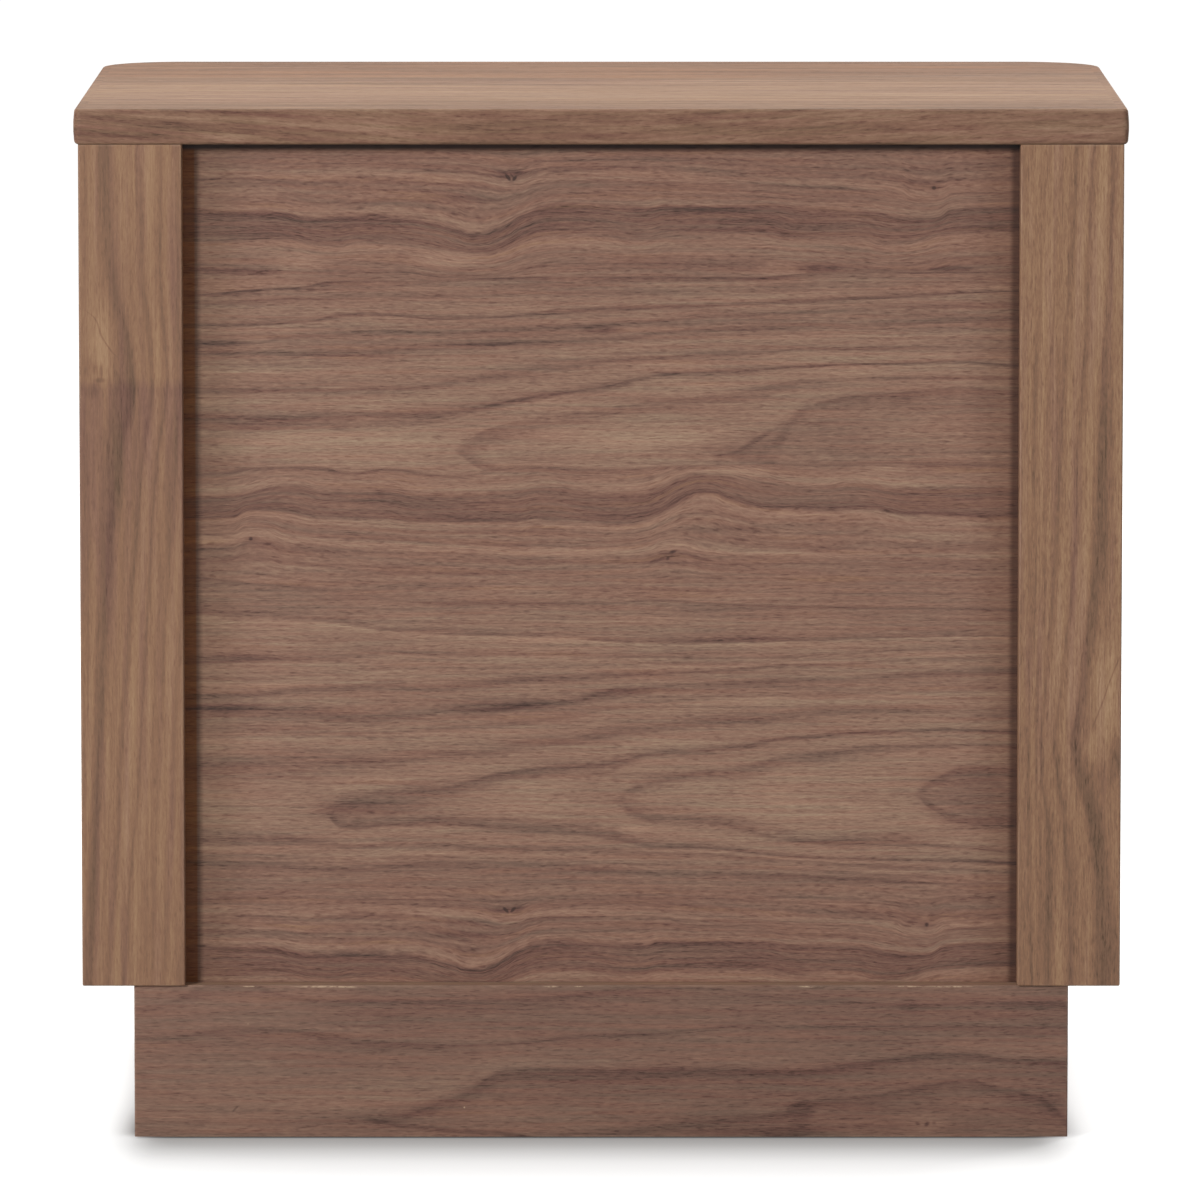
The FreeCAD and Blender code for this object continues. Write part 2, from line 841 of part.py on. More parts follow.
def make_plinth():
    rear_inside = plinth_rear - plinth_board_thickness
    front_inside = plinth_front + plinth_board_thickness
    write("plinth_rear_board", [plinth_long_board(rear_inside, plinth_rear, plinth_rear)])
    write("plinth_front_board", [plinth_long_board(plinth_front, front_inside, plinth_front)])
    write("plinth_left_board", [plinth_side_board()])
    write("plinth_right_board", [mirrored(plinth_side_board())])
    write("plinth_centre_bearer", [centre_bearer()])
    write("plinth_corner_blocks", corner_blocks())
    write("plinth_screws", plinth_screws())
    write("floor_glides", floor_glides())


def make_drawer(name):
    write(f"{name}_drawer_front", [drawer_front(name)])
    write(f"{name}_box_front", [box_end(name, drawer_front_rear, box_front_rear)])
    write(f"{name}_box_back", [box_end(name, box_back_front, box_rear)])
    write(f"{name}_box_left_side", [box_side(name)])
    write(f"{name}_box_right_side", [mirrored(box_side(name))])
    write(f"{name}_box_floor", [box_floor(name)])
    write(f"{name}_front_screws", front_screws(name))
    write(f"{name}_cabinet_runners", pair([cabinet_runner(name)]))
    write(f"{name}_middle_runners", pair([middle_runner(name)]))
    write(f"{name}_drawer_runners", pair([drawer_runner(name)]))
    write(f"{name}_runner_screws", drawer_runner_screws(name))
    outer = ball_cage(name, outer_cage_web, outer_ball_place, outer_ball_height)
    inner = ball_cage(name, inner_cage_web, inner_ball_place, inner_ball_height)
    write(f"{name}_outer_ball_cages", pair(outer))
    write(f"{name}_inner_ball_cages", pair(inner))


make_case()
make_plinth()
for drawer_name in front_foots:
    make_drawer(drawer_name)
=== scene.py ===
# Nightstand with two drawers, seen from behind: finishes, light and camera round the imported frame
from math import radians
import bpy
from mathutils import Matrix, Vector


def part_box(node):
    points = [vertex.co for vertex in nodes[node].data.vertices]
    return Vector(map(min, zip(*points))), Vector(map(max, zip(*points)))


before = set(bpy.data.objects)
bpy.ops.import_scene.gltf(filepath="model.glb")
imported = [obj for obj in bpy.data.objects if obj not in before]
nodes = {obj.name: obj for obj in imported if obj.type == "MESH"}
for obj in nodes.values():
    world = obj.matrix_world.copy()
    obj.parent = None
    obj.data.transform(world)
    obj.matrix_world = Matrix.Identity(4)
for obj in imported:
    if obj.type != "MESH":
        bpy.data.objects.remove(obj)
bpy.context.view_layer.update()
print("frame loaded with", len(nodes), "nodes")


# helpers for node trees; a new node goes into the tree its values come from, and lengths are millimetres
def paint(text):
    # a written colour such as "85665a" to the linear values that Blender works with
    shares = [int(text[i:i + 2], 16) / 255 for i in (0, 2, 4)]
    return [s / 12.92 if s <= 0.04045 else ((s + 0.055) / 1.055) ** 2.4 for s in shares] + [1.0]


def newMaterial(name):
    material = bpy.data.materials.new(name)
    material.use_nodes = True
    material.node_tree.nodes.clear()
    return material, material.node_tree


def feed(socket, value):
    if isinstance(value, bpy.types.NodeSocket):
        socket.id_data.links.new(value, socket)
    else:
        socket.default_value = value


def newNode(kind, inputs):
    # inputs: the value or the socket that goes into each named or numbered input
    tree = next(value.id_data for value in inputs.values() if isinstance(value, bpy.types.NodeSocket))
    node = tree.nodes.new("ShaderNode" + kind)
    for name, value in inputs.items():
        feed(node.inputs[name], value)
    return node


def maths(operation, *values):
    node = newNode("Math", dict(enumerate(values)))
    node.operation = operation
    return node.outputs[0]


def times(first, second):
    return maths("MULTIPLY", first, second)


def minus(first, second):
    return maths("SUBTRACT", first, second)


def added(*values):
    total = values[0]
    for value in values[1:]:
        total = maths("ADD", total, value)
    return total


def swing(value, amount, middle=0.5):
    # noise turned to a signed amount about its middle
    return times(minus(value, middle), amount)


def vectorMaths(operation, *values):
    node = newNode("VectorMath", dict(enumerate(values)))
    node.operation = operation
    return node.outputs["Value" if operation == "LENGTH" else "Vector"]


def ranged(value, low, high, toLow=0.0, toHigh=1.0, soft=False):
    ends = {"From Min": low, "From Max": high, "To Min": toLow, "To Max": toHigh}
    node = newNode("MapRange", {"Value": value, **ends})
    node.interpolation_type = "SMOOTHSTEP" if soft else "LINEAR"
    return node.outputs[0]


def blended(factor, first, second, kind="FLOAT"):
    # plain mix of two numbers or two colours
    one, two, result = {"FLOAT": (2, 3, 0), "RGBA": (6, 7, 2)}[kind]
    node = newNode("Mix", {0: factor, one: first, two: second})
    node.data_type = kind
    return node.outputs[result]


def mapped(place, location=(0, 0, 0), rotation=(0, 0, 0), scale=(1, 1, 1)):
    node = newNode("Mapping", {"Vector": place, "Location": location, "Rotation": rotation, "Scale": scale})
    return node.outputs[0]


def noise(place, size, detail=2.0, roughness=0.5, seed=0.0):
    # cloudy noise from 0 to 1 whose patches are about size millimetres long, wide and deep
    moved = mapped(place, (seed, seed * 1.7, seed * 0.6), scale=[1 / s for s in size])
    settings = {"Scale": 1.0, "Detail": detail, "Roughness": roughness}
    return newNode("TexNoise", {"Vector": moved, **settings}).outputs[0]


def curveThrough(value, points, sharp=False):
    # a curve that passes through (input, output) points and stays level beyond them
    xs, ys = [p[0] for p in points], [p[1] for p in points]
    lowX, spanX = xs[0], xs[-1] - xs[0]
    lowY, spanY = min(ys), max(max(ys) - min(ys), 1e-6)
    node = newNode("FloatCurve", {"Value": ranged(value, lowX, lowX + spanX)})
    line = node.mapping.curves[0]
    while len(line.points) < len(points):
        line.points.new(0.5, 0.5)
    for point, x, y in zip(line.points, xs, ys):
        point.location = ((x - lowX) / spanX, (y - lowY) / spanY)
        point.handle_type = "VECTOR" if sharp else "AUTO_CLAMPED"
    node.mapping.use_clip = False
    node.mapping.update()
    return ranged(node.outputs[0], 0.0, 1.0, lowY, lowY + spanY)


def colourRamp(value, stops):
    node = newNode("ValToRGB", {0: value})
    ramp = node.color_ramp
    while len(ramp.elements) < len(stops):
        ramp.elements.new(0.5)
    for element, (position, colour) in zip(ramp.elements, stops):
        element.position = position
        element.color = paint(colour)
    return node.outputs[0]


def split(place):
    return list(newNode("SeparateXYZ", {0: place}).outputs)


def joined(*sides):
    return newNode("CombineXYZ", dict(enumerate(sides))).outputs[0]


perMetre = 1000  # millimetres

# how a board lies: the directions along its grain, across it and into the wood
asBuilt = ((1, 0, 0), (0, 1, 0), (0, 0, 1))
upright = ((0, 0, 1), (1, 0, 0), (0, 1, 0))
uprightBack = ((0, 0, -1), (-1, 0, 0), (0, 1, 0))
uprightSide = ((0, 0, 1), (0, 1, 0), (-1, 0, 0))
level = ((1, 0, 0), (0, 0, 1), (0, -1, 0))
levelBack = ((-1, 0, 0), (0, 0, -1), (0, -1, 0))
levelSide = ((0, 1, 0), (0, 0, 1), (1, 0, 0))
flat = ((0, 1, 0), (1, 0, 0), (0, 0, -1))


def boardPlace(tree, axes, centre=(0, 0, 0)):
    # Object coordinates turned so that x runs along the grain, y across it and z into the wood
    coordinate = tree.nodes.new("ShaderNodeTexCoord").outputs["Object"]
    turn = Matrix([Vector(a) for a in axes])
    start = -(turn @ (Vector(centre) * perMetre))
    return mapped(coordinate, start, turn.to_euler(), [perMetre] * 3)


def edgeWear(tree, nodeName, width):
    # 1 on the arrises of a node's box, 0 inside its faces: the middle one of three distances to the faces
    low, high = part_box(nodeName)
    coordinate = tree.nodes.new("ShaderNodeTexCoord").outputs["Object"]
    middle = [(a + b) / 2 * perMetre for a, b in zip(low, high)]
    half = [(b - a) / 2 * perMetre for a, b in zip(low, high)]
    place = mapped(coordinate, [-m for m in middle], (0, 0, 0), [perMetre] * 3)
    inside = vectorMaths("SUBTRACT", half, vectorMaths("ABSOLUTE", place))
    a, b, c = split(inside)
    nearest = maths("MAXIMUM", maths("MINIMUM", a, b), maths("MINIMUM", maths("MAXIMUM", a, b), c))
    return ranged(nearest, 0.2, width, 1.0, 0.0, soft=True)


def surface(colour, roughness, bump, strength, distance, **settings):
    # the shader at the end of each tree; settings are plain numbers on its own sockets
    relief = newNode("Bump", {"Strength": strength, "Distance": distance, "Height": bump})
    values = {"Base Color": colour, "Roughness": roughness, "Normal": relief.outputs[0]}
    shader = newNode("BsdfPrincipled", values)
    for name, value in settings.items():
        shader.inputs[name.replace("_", " ")].default_value = value
    newNode("OutputMaterial", {0: shader.outputs[0]})


def dress(nodeName, material):
    slots = nodes[nodeName].data.materials
    if len(slots) == 0:
        slots.append(material)
    for index in range(len(slots)):
        slots[index] = material


# wood colours, dark to light: rosy heartwood, its greyer streaks, honey-brown wood, and light-bleached tan
walnutStops = (0.0, 0.18, 0.34, 0.5, 0.66, 0.82, 1.0)
walnutColours = {
    "rosy": ("3d271f", "5f4038", "775448", "886454", "987462", "a8846e", "bc9a80"),
    "grey": ("3a2923", "584238", "70574a", "836657", "947864", "a38972", "b89f86"),
    "honey": ("3a281a", "614937", "7a5b47", "8c6850", "9d7a5d", "ac8a6b", "c1a27e"),
    "tan": ("3a2b21", "5d4a3c", "775d4b", "896c56", "9a7d66", "aa8e75", "c0a588"),
}

fineGrain = {
    "streakSize": (95, 2.6, 2.6), "streakAmount": 0.36,
    "lineSize": (75, 1.15, 1.15), "lineAmount": 0.4,
    "fibreSize": (5.5, 0.8, 0.8), "fibreAmount": 0.6,
    "poreSize": (6.0, 0.75, 0.75), "poreDepth": 0.14,
    "cloudSize": (90, 38, 38), "cloudAmount": 0.14,
    "hueSize": (75, 2.8, 2.8), "hueAmount": 3.2,
    "rubSize": (24, 5, 5), "wornHighlightAmount": 0.3, "wornHighlightColour": "b0947e", "chippedColour": "c4a88c",
    "poreRange": (0.56, 0.7), "rubRange": (0.4, 0.62),
    "cloudRough": 0.12, "poreRough": 0.2, "rubRough": -0.08, "fibreBump": 0.5, "poreBump": -0.9,
    "gloss": 0.28, "bump": 0.16, "bumpDepth": 0.00012,
}


def guidedHeight(along, across, guides):
    # counts up by one from each drawn grain line to the next one, evenly in between
    lines = [curveThrough(along, points) for points in guides]
    return added(*[ranged(across, a, b) for a, b in zip(lines, lines[1:])])


yearRings = {
    "wanderSize": (210, 1, 1), "swellSize": (260, 1, 1), "rippleSize": (70, 14, 14), "ripple": 3.2,
    "yearSize": (1.7, 1, 1), "yearAmount": 0.75, "lineSize": (0.9, 1, 1),
    "lineStrength": (0.42, 0.62, 0.25, 1.0),
}


def grownHeight(place, look):
    # distance to a wandering pith below the face, in year rings: cut by the face it draws
    # the arches and ovals of a flat-sawn board, and plain rings on its end
    along, across, depth = split(place)
    line = joined(along, look["seed"] * 31.7, 0.0)
    wander = swing(noise(line, yearRings["wanderSize"], 1.0), look["wander"])
    sink = swing(noise(line, yearRings["swellSize"], 1.0, seed=9.0), look["swell"])
    fromPith = minus(across, added(wander, look["pith"][0]))
    below = added(depth, sink, times(along, look["taper"]), look["pith"][1])
    radius = vectorMaths("LENGTH", joined(fromPith, below, 0.0))
    ripple = swing(noise(place, yearRings["rippleSize"], 2.0, seed=4.0), yearRings["ripple"])
    return maths("DIVIDE", added(radius, ripple), look["ring"])


yearTone = [(0.0, 0.02), (0.1, 0.05), (0.55, 0.02), (0.82, -0.08), (0.93, -0.2), (0.985, -0.15), (1.0, 0.0)]


def grownTone(height, seed):
    # broad light and dark years, each ending in a thin dark line
    years = noise(joined(height, seed * 13.1, 0.0), yearRings["yearSize"], 3.0, 0.6)
    lines = noise(joined(height, seed * 7.7, 5.0), yearRings["lineSize"], 1.0)
    inYear = maths("FRACT", height)
    end = curveThrough(inYear, yearTone)
    strong = ranged(lines, *yearRings["lineStrength"])
    return added(0.5, swing(years, yearRings["yearAmount"]), times(end, strong))


lineSpacing = 16.0  # usual distance of two drawn lines
lineWaver = {
    "waverSize": (46, 5, 1), "waver": 0.42, "breakSize": (60, 9, 1), "strength": (0.3, 0.68, 0.5, 1.1),
}


def brokenLines(along, height, tones, lane):
    # tone of a drawn height: the lines waver a little, and come and go along their length
    look = lineWaver
    spot = joined(along, times(height, lineSpacing), lane)
    height = added(height, swing(noise(spot, look["waverSize"], 3.0, 0.6, 2.6), look["waver"]))
    tone = minus(curveThrough(height, tones, sharp=True), 0.5)
    strength = ranged(noise(spot, look["breakSize"], 2.0, 0.5, 8.2), *look["strength"])
    return maths("MULTIPLY_ADD", tone, strength, 0.5)


def paintedCornerShade(place, strips):
    # painted shade darkening the panel beside the stiles and under the slab: (axis, outer place, inner
    # place, tint at the outer one)
    sides = split(place)
    shade = (1.0, 1.0, 1.0)
    for axis, outer, inner, tint in strips:
        near = ranged(sides[axis], outer, inner, 1.0, 0.0, soft=True)
        shade = vectorMaths("MULTIPLY", shade, blended(near, paint("ffffff"), paint(tint), "RGBA"))
    return shade


spotEdge = (1.25, 0.25)  # where a patch begins and where it is full, in shares of its half size
endless = 1e6


def spots(place, tone, marks):
    # soft long patches: (along, across, half length, half width, change of tone, degrees where it leans)
    for along, across, halfLength, halfWidth, change, *turn in marks:
        near = mapped(place, (along, across, 0), (0, 0, radians(turn[0]) if turn else 0),
                      (halfLength, halfWidth, endless))
        near.node.vector_type = "TEXTURE"
        mark = ranged(vectorMaths("LENGTH", near), *spotEdge, 0.0, change, soft=True)
        tone = added(tone, mark)
    return tone


def spotMask(place, marks):
    # 1 on small chips and flecks: (along, across, half length, half width)
    return spots(place, 0.0, [mark + (1.0,) for mark in marks])


def strokes(along, across, tone, lines, fade=6.0):
    # thin drawn lines: points, half width, change of tone; each one's ends fade over a short way
    for points, halfWidth, change in lines:
        away = maths("ABSOLUTE", minus(across, curveThrough(along, points)))
        mark = ranged(away, halfWidth, halfWidth * 0.2, 0.0, change, soft=True)
        start = ranged(along, points[0][0] - 2, points[0][0] + fade, soft=True)
        end = ranged(along, points[-1][0] + 2, points[-1][0] - fade, soft=True)
        tone = added(tone, times(mark, times(start, end)))
    return tone


def walnutSurface(place, tone, warm, look, wear=None, shade=None, chips=None):
    # warm 0 is greyer walnut, 1 rosy, and 2 honey-brown; streaks of hue swing round it
    grain = {**fineGrain, **look.get("grain", {})}
    seed = look["seed"]
    streaks = noise(place, grain["streakSize"], 3.0, 0.62, seed)
    lines = noise(place, grain["lineSize"], 2.0, 0.6, seed + 31)
    fibres = noise(place, grain["fibreSize"], 2.0, 0.7, seed + 3)
    pores = ranged(noise(place, grain["poreSize"], 1.0, 0.5, seed + 7), *grain["poreRange"], soft=True)
    clouds = noise(place, grain["cloudSize"], 2.0, 0.5, seed + 11)
    tone = added(tone, swing(streaks, grain["streakAmount"]), swing(lines, grain["lineAmount"]),
                 swing(fibres, grain["fibreAmount"]), swing(clouds, grain["cloudAmount"]),
                 times(pores, -grain["poreDepth"]))
    hue = noise(place, grain["hueSize"], 2.0, 0.55, seed + 17)
    warm = added(warm, swing(hue, grain["hueAmount"]))
    cold, middle, hot = [colourRamp(tone, list(zip(walnutStops, walnutColours[name])))
                         for name in look.get("ramps", ("grey", "rosy", "honey"))]
    colour = blended(ranged(warm, 0.0, 1.0), cold, middle, "RGBA")
    colour = blended(ranged(warm, 1.0, 2.0), colour, hot, "RGBA")
    roughness = added(look["roughness"], swing(clouds, grain["cloudRough"]),
                      times(pores, grain["poreRough"]))
    # worn finish and a painted highlight: the arrises are made lighter and smoother
    if wear is not None:
        wornHighlight = times(wear, ranged(noise(place, grain["rubSize"], 3.0, 0.6, seed + 23), *grain["rubRange"]))
        colour = blended(times(wornHighlight, grain["wornHighlightAmount"]), colour, paint(grain["wornHighlightColour"]), "RGBA")
        roughness = added(roughness, times(wornHighlight, grain["rubRough"]))
    if chips is not None:
        colour = blended(chips, colour, paint(grain["chippedColour"]), "RGBA")
    # painted shade, where a board is given one, darkens the colour
    if shade is not None:
        colour = vectorMaths("MULTIPLY", colour, shade)
    bump = added(times(fibres, grain["fibreBump"]), times(pores, grain["poreBump"]))
    surface(colour, roughness, bump, grain["bump"], grain["bumpDepth"], Specular_IOR_Level=grain["gloss"])


# five veneer leaves, drawn by grain lines; each line is (along, across) from the viewer's left to right
rearPanel = {
    "node": "back_panel", "seed": 2.0, "roughness": 0.52, "lift": 0.045, "wavyWarm": 0.72, "archWarm": 0.52,
    "jointBlend": 0.25, "foldBlend": 0.5, "foldSoft": 3.0, "fadeSize": (70, 9, 9),
    "fade": (0.34, 0.62, 0.25, 1.0),
    # painted shade: the recess corners beside both stiles, a soft falloff towards them, and the strip under
    # the slab
    "paintedCornerShade": [(0, 220.2, 216.4, "ab9f9a"), (0, 217.0, 190.0, "e3ddd8"), (1, -531.8, -528.6, "4a2d16"),
        (0, -216.9, -215.6, "efc38d"), (0, -214.0, -180.0, "e5e4de")],
    "wavyLeaf": [
        [(-214, -534), (218, -534)],
        [(-214, -517.6), (-106, -517), (-74, -515.4), (-58, -512.8), (-48, -511.2), (-37, -513.8),
         (-21, -515.9), (11, -516.5), (53, -514.9), (107, -512.7), (138, -511.7), (160, -509), (177, -505.3),
         (186, -507.9), (218, -509.5)],
        [(-215, -496.8), (-176, -496.2), (-149, -492.8), (-106, -493), (-92, -491.8), (-83, -489.6),
         (-75, -487.2), (-66, -485), (-58, -486.6), (-50, -490.2), (-39, -496.4), (-30, -498.8),
         (-21, -499.6), (0, -498.8), (22, -497.8), (35, -499.4), (85, -499.4), (107, -497.3), (138, -496.7),
         (160, -493.5), (173, -493), (184, -496.7), (194, -498.3), (218, -498.9)],
        [(-215, -482.6), (-175, -483.4), (-154, -481), (-142, -480.2), (-129, -481.6), (-98, -479.4),
         (-85, -476.8), (-66, -474.4), (-54, -476.4), (-39, -482.6), (-28, -484.8), (-7, -485.4),
         (22, -483.4), (35, -485), (85, -485.6), (104, -483.4), (139, -482.9), (154, -480.7), (170, -482.3),
         (184, -485.5), (218, -487.1)],
        [(-215, -468), (-159, -466.4), (-106, -465.8), (-72, -463.2), (-42, -466.4), (0, -469),
         (107, -467.9), (160, -465.8), (186, -467.9), (218, -469.5)],
        [(-215, -449.3), (218, -449.2)],
    ],
    "wavyTone": [(0.0, 0.48), (0.4, 0.49), (0.5, 0.4), (0.6, 0.5), (0.72, 0.43), (0.79, 0.4), (0.87, 0.56),
        (1.0, 0.64), (1.08, 0.6), (1.16, 0.37), (1.25, 0.5), (1.36, 0.43), (1.48, 0.5), (1.6, 0.43),
        (1.7, 0.52), (1.79, 0.62), (1.87, 0.58), (1.94, 0.4), (2.01, 0.2), (2.1, 0.21), (2.22, 0.3),
        (2.4, 0.34), (2.54, 0.26), (2.7, 0.34), (2.84, 0.28), (2.97, 0.36), (3.1, 0.58), (3.25, 0.61),
        (3.45, 0.53), (3.7, 0.49), (3.84, 0.44), (4.0, 0.35), (4.15, 0.45), (4.4, 0.53), (5.0, 0.52)],
    "wavyTwin": {"turned": (-10.0, -831.6), "moved": (2.5, -395.4)}, "rippleSize": (46, 7, 7), "ripple": 2.2,
    "outerSpacing": 12.0, "twinGap": 300.0,
    "leafJoints": [
        [(-215, -453.6), (-186, -455.7), (-159, -457.3), (-133, -460.5), (-96, -460), (-66, -461.6),
         (0, -462.6), (75, -462.6), (122, -465), (218, -465.3)],
        [(-215, -356.7), (-200, -357.8), (-186, -360.5), (-160, -361), (-141, -358.9), (-133, -357.8),
         (-114, -359.9), (-96, -357.8), (-80, -356.7), (-66, -357.2), (-40, -361), (0, -359.9), (27, -361),
         (64, -362.1), (219, -362.6)],
        [(-215, -302), (-181, -297.7), (-133, -293.9), (-112, -290.1), (-96, -288.5), (0, -288),
         (32, -289.6), (54, -288), (107, -286.4), (219, -284.7)],
        [(-216, -136.5), (220, -136.4)],
    ],
    # offset, half width and change of tone of the line along each joint
    "jointLines": [(0.4, 1.2, -0.08), (0.8, 1.7, -0.17), (0.2, 1.2, -0.12), (0.0, 1.0, -0.05)],
    "threads": [
        ([(-216, -305.5), (-197, -305), (-150, -299), (-90, -296.6), (-20, -297), (40, -294.8), (120, -293),
          (218, -292.6)], 0.9, -0.13),
        ([(-216, -313.6), (-180, -311.6), (-130, -305.8), (-60, -303), (10, -302.4), (90, -300.6),
          (218, -300.4)], 0.9, -0.11),
        ([(-216, -325), (-180, -321), (-100, -314), (-20, -310), (60, -309), (218, -307.6)], 0.8, -0.12),
        ([(-216, -128), (-160, -128.6), (-60, -127), (30, -128.6), (100, -126), (160, -120), (218, -117.6)],
          0.9, -0.14),
        ([(-216, -119.4), (-150, -118), (-70, -115.4), (-30, -118), (60, -119), (218, -110)], 0.8, -0.12),
        ([(-216, -110.6), (-60, -108.8), (40, -111.4), (150, -103), (218, -103.6)], 0.8, -0.1),
    ],
    # in the two arched leaves the lines are half heights over the middle of the arches
    "upperArch": {
        "middle": [(-215, -370.7), (-76, -369.6), (65, -367.4), (219, -366.3)],
        "lines": [
            [(-215, -85.7), (219, -32.1)],
            [(-215, -64.3), (-80, -29.5), (0, -16.1), (54, -3.7), (65, 0), (75, 2.1), (88, 4.8), (94, 8.6),
             (102, 18.2), (107, 23.6), (118, 27.8), (133, 31.1), (160, 33.7), (192, 35.9), (219, 34.3)],
            [(-215, -48.2), (-160, -32.1), (-106, -13.4), (-85, -4.3), (-76, 0.5), (-70, 4.8), (-64, 8.6),
             (-53, 12.3), (-37, 16.1), (0, 22), (27, 27.8), (54, 29.5), (94, 37.5), (107, 40.2),
             (219, 42.3)],
            [(-215, 16.6), (-160, 17.1), (-106, 18.7), (-66, 22.5), (-40, 27.8), (0, 34.8), (35, 42.3),
             (54, 43.4), (94, 46.6), (133, 48.7), (181, 50.3), (219, 48.2)],
            [(-215, 31.6), (-133, 32.7), (-106, 33.2), (-80, 36.9), (-42, 42.8), (0, 48.2), (27, 51.4),
             (54, 53.5), (133, 57.3), (219, 58.9)],
            [(-215, 51.9), (-160, 51.4), (-106, 54.1), (-66, 56.8), (0, 61), (54, 66.9), (123, 69.6),
             (219, 74.4)],
            [(-215, 55.7), (-189, 55.7), (-173, 58.4), (-146, 61), (-128, 62.6), (-66, 63.7), (0, 68),
             (54, 73.4), (123, 77.1), (219, 81.9)],
            [(-215, 65.3), (-160, 68), (-120, 72.3), (-90, 70.7), (-32, 73.4), (0, 75.5), (54, 79.2),
             (123, 83), (219, 88.4)],
            [(-215, 84.1), (-186, 85.7), (-160, 87.3), (-133, 90.5), (-66, 92.6), (0, 94.2), (75, 95.3),
             (122, 98.5), (219, 99.6)],
        ],
        "tone": [(0.0, 0.5), (0.7, 0.52), (0.88, 0.46), (0.97, 0.32), (1.03, 0.32), (1.12, 0.46), (1.4, 0.6),
            (1.8, 0.57), (1.92, 0.42), (2.04, 0.4), (2.14, 0.58), (2.5, 0.62), (2.82, 0.58), (2.93, 0.34),
            (2.99, 0.2), (3.05, 0.26), (3.14, 0.46), (3.35, 0.62), (3.6, 0.6), (3.86, 0.5), (3.95, 0.34),
            (4.03, 0.36), (4.12, 0.5), (4.3, 0.54), (4.5, 0.62), (4.7, 0.5), (4.88, 0.44), (4.96, 0.3),
            (5.08, 0.34), (5.25, 0.5), (5.6, 0.46), (5.82, 0.46), (5.95, 0.32), (6.08, 0.36), (6.25, 0.5),
            (6.6, 0.56), (6.86, 0.58), (6.95, 0.36), (7.0, 0.25), (7.05, 0.34), (7.14, 0.56), (7.28, 0.6),
            (7.46, 0.48), (7.58, 0.4), (7.74, 0.52), (7.9, 0.44), (8.0, 0.26)],
    },
    "lowerArch": {
        "middle": [(-216, -172.7), (-147, -173.2), (-107, -177.6), (-67, -179.7), (-27, -181.9),
            (11, -181.3), (54, -181.9), (107, -182.9), (171, -184), (220, -182.4)],
        "lines": [
            [(-215, -96.4), (219, -21.4)],
            [(-215, -64.3), (-146, -50.9), (11, -32.1), (107, -15), (160, -2.7), (169, 0), (173, 3.7),
             (181, 8.6), (189, 12.9), (200, 14.5), (219, 15)],
            [(-215, -40.2), (-146, -26.8), (-80, -19.8), (-26, -10.7), (0, -4.3), (10, 0.5), (14, 5.4),
             (22, 9.1), (32, 11.8), (54, 13.4), (75, 16.1), (94, 20.9), (107, 23), (133, 25.7), (173, 26.8),
             (219, 28.9)],
            [(-215, -13.4), (-160, -3.7), (-146, 0), (-143, 3.2), (-138, 6.4), (-120, 8), (-80, 10.2),
             (-53, 14.5), (-37, 16.1), (0, 18.7), (14, 22), (27, 25.2), (54, 26.2), (80, 29.5), (107, 32.1),
             (133, 34.3), (219, 35.3)],
        ],
        "above": [
            [(-215, 27.8), (-133, 29.5), (-106, 26.8), (-53, 27.8), (-26, 30.5), (0, 34.3), (27, 39.1),
             (54, 41.8), (107, 44.4), (219, 45)],
            [(-215, 57.8), (-160, 56.8), (-130, 51.9), (-85, 49.8), (-53, 50.3), (-21, 51.9), (0, 58.4),
             (27, 61.6), (67, 62.6), (107, 63.2), (149, 64.3), (219, 70.1)],
            [(-215, 64.3), (-186, 64.8), (-146, 68), (-117, 68), (-93, 63.7), (-66, 64.3), (-26, 64.8),
             (0, 66.9), (54, 69.6), (107, 71.2), (149, 72.3), (219, 76.6)],
            [(-215, 84.1), (-168, 85.7), (-136, 85.1), (-106, 84.1), (-66, 80.9), (0, 77.6), (54, 76.6),
             (94, 76), (133, 77.1), (219, 81.4)],
            [(-215, 110.3), (-173, 108.2), (-146, 106.6), (-106, 95.8), (-80, 92.6), (-26, 87.8), (22, 85.7),
             (54, 85.1), (107, 85.1), (219, 87.3)],
            [(-215, 127.4), (-181, 124.2), (-133, 118.9), (-96, 109.2), (-53, 106), (0, 105), (32, 107.1),
             (54, 105), (107, 102.8), (219, 100.7)],
        ],
        "below": [
            [(-215, 12.9), (-160, 14.5), (-146, 16.1), (-106, 20.3), (-80, 22.5), (-53, 26.2), (0, 27.8),
             (54, 29.5), (107, 34.3), (160, 38.6), (219, 40.7)],
            [(-215, 25.7), (-106, 31.1), (0, 37.5), (107, 42.8), (219, 50.9)],
        ],
        "tone": [(0.0, 0.44), (0.84, 0.44), (0.94, 0.28), (1.02, 0.24), (1.12, 0.44), (1.4, 0.58),
            (1.8, 0.62), (1.92, 0.46), (2.0, 0.31), (2.08, 0.4), (2.18, 0.56), (2.45, 0.62), (2.8, 0.57),
            (2.92, 0.36), (3.0, 0.21), (3.08, 0.34), (3.18, 0.54), (3.4, 0.62), (3.66, 0.58), (3.86, 0.48),
            (3.95, 0.34), (4.05, 0.38), (4.2, 0.52), (4.38, 0.62), (4.5, 0.62), (4.6, 0.44), (4.75, 0.52),
            (4.88, 0.4), (4.97, 0.28), (5.1, 0.36), (5.25, 0.48), (5.6, 0.5), (5.86, 0.44), (5.96, 0.29),
            (6.06, 0.38), (6.18, 0.52), (6.35, 0.6), (6.5, 0.44), (6.7, 0.52), (6.86, 0.55), (6.96, 0.35),
            (7.06, 0.42), (7.2, 0.52), (7.5, 0.5), (7.74, 0.58), (7.86, 0.7), (7.93, 0.44), (8.0, 0.26),
            (8.1, 0.42), (8.5, 0.5), (9.0, 0.38)],
    },
    "marks": [(-199, -455.2, 26, 3.4, -0.2), (-205, -426.9, 20, 2.7, -0.24), (0, -434.3, 12, 2.8, -0.22),
        (-66, -426.8, 27, 2.1, -0.14), (35, -410.2, 8, 1.8, -0.2), (-195, -257.9, 27, 3.4, -0.2),
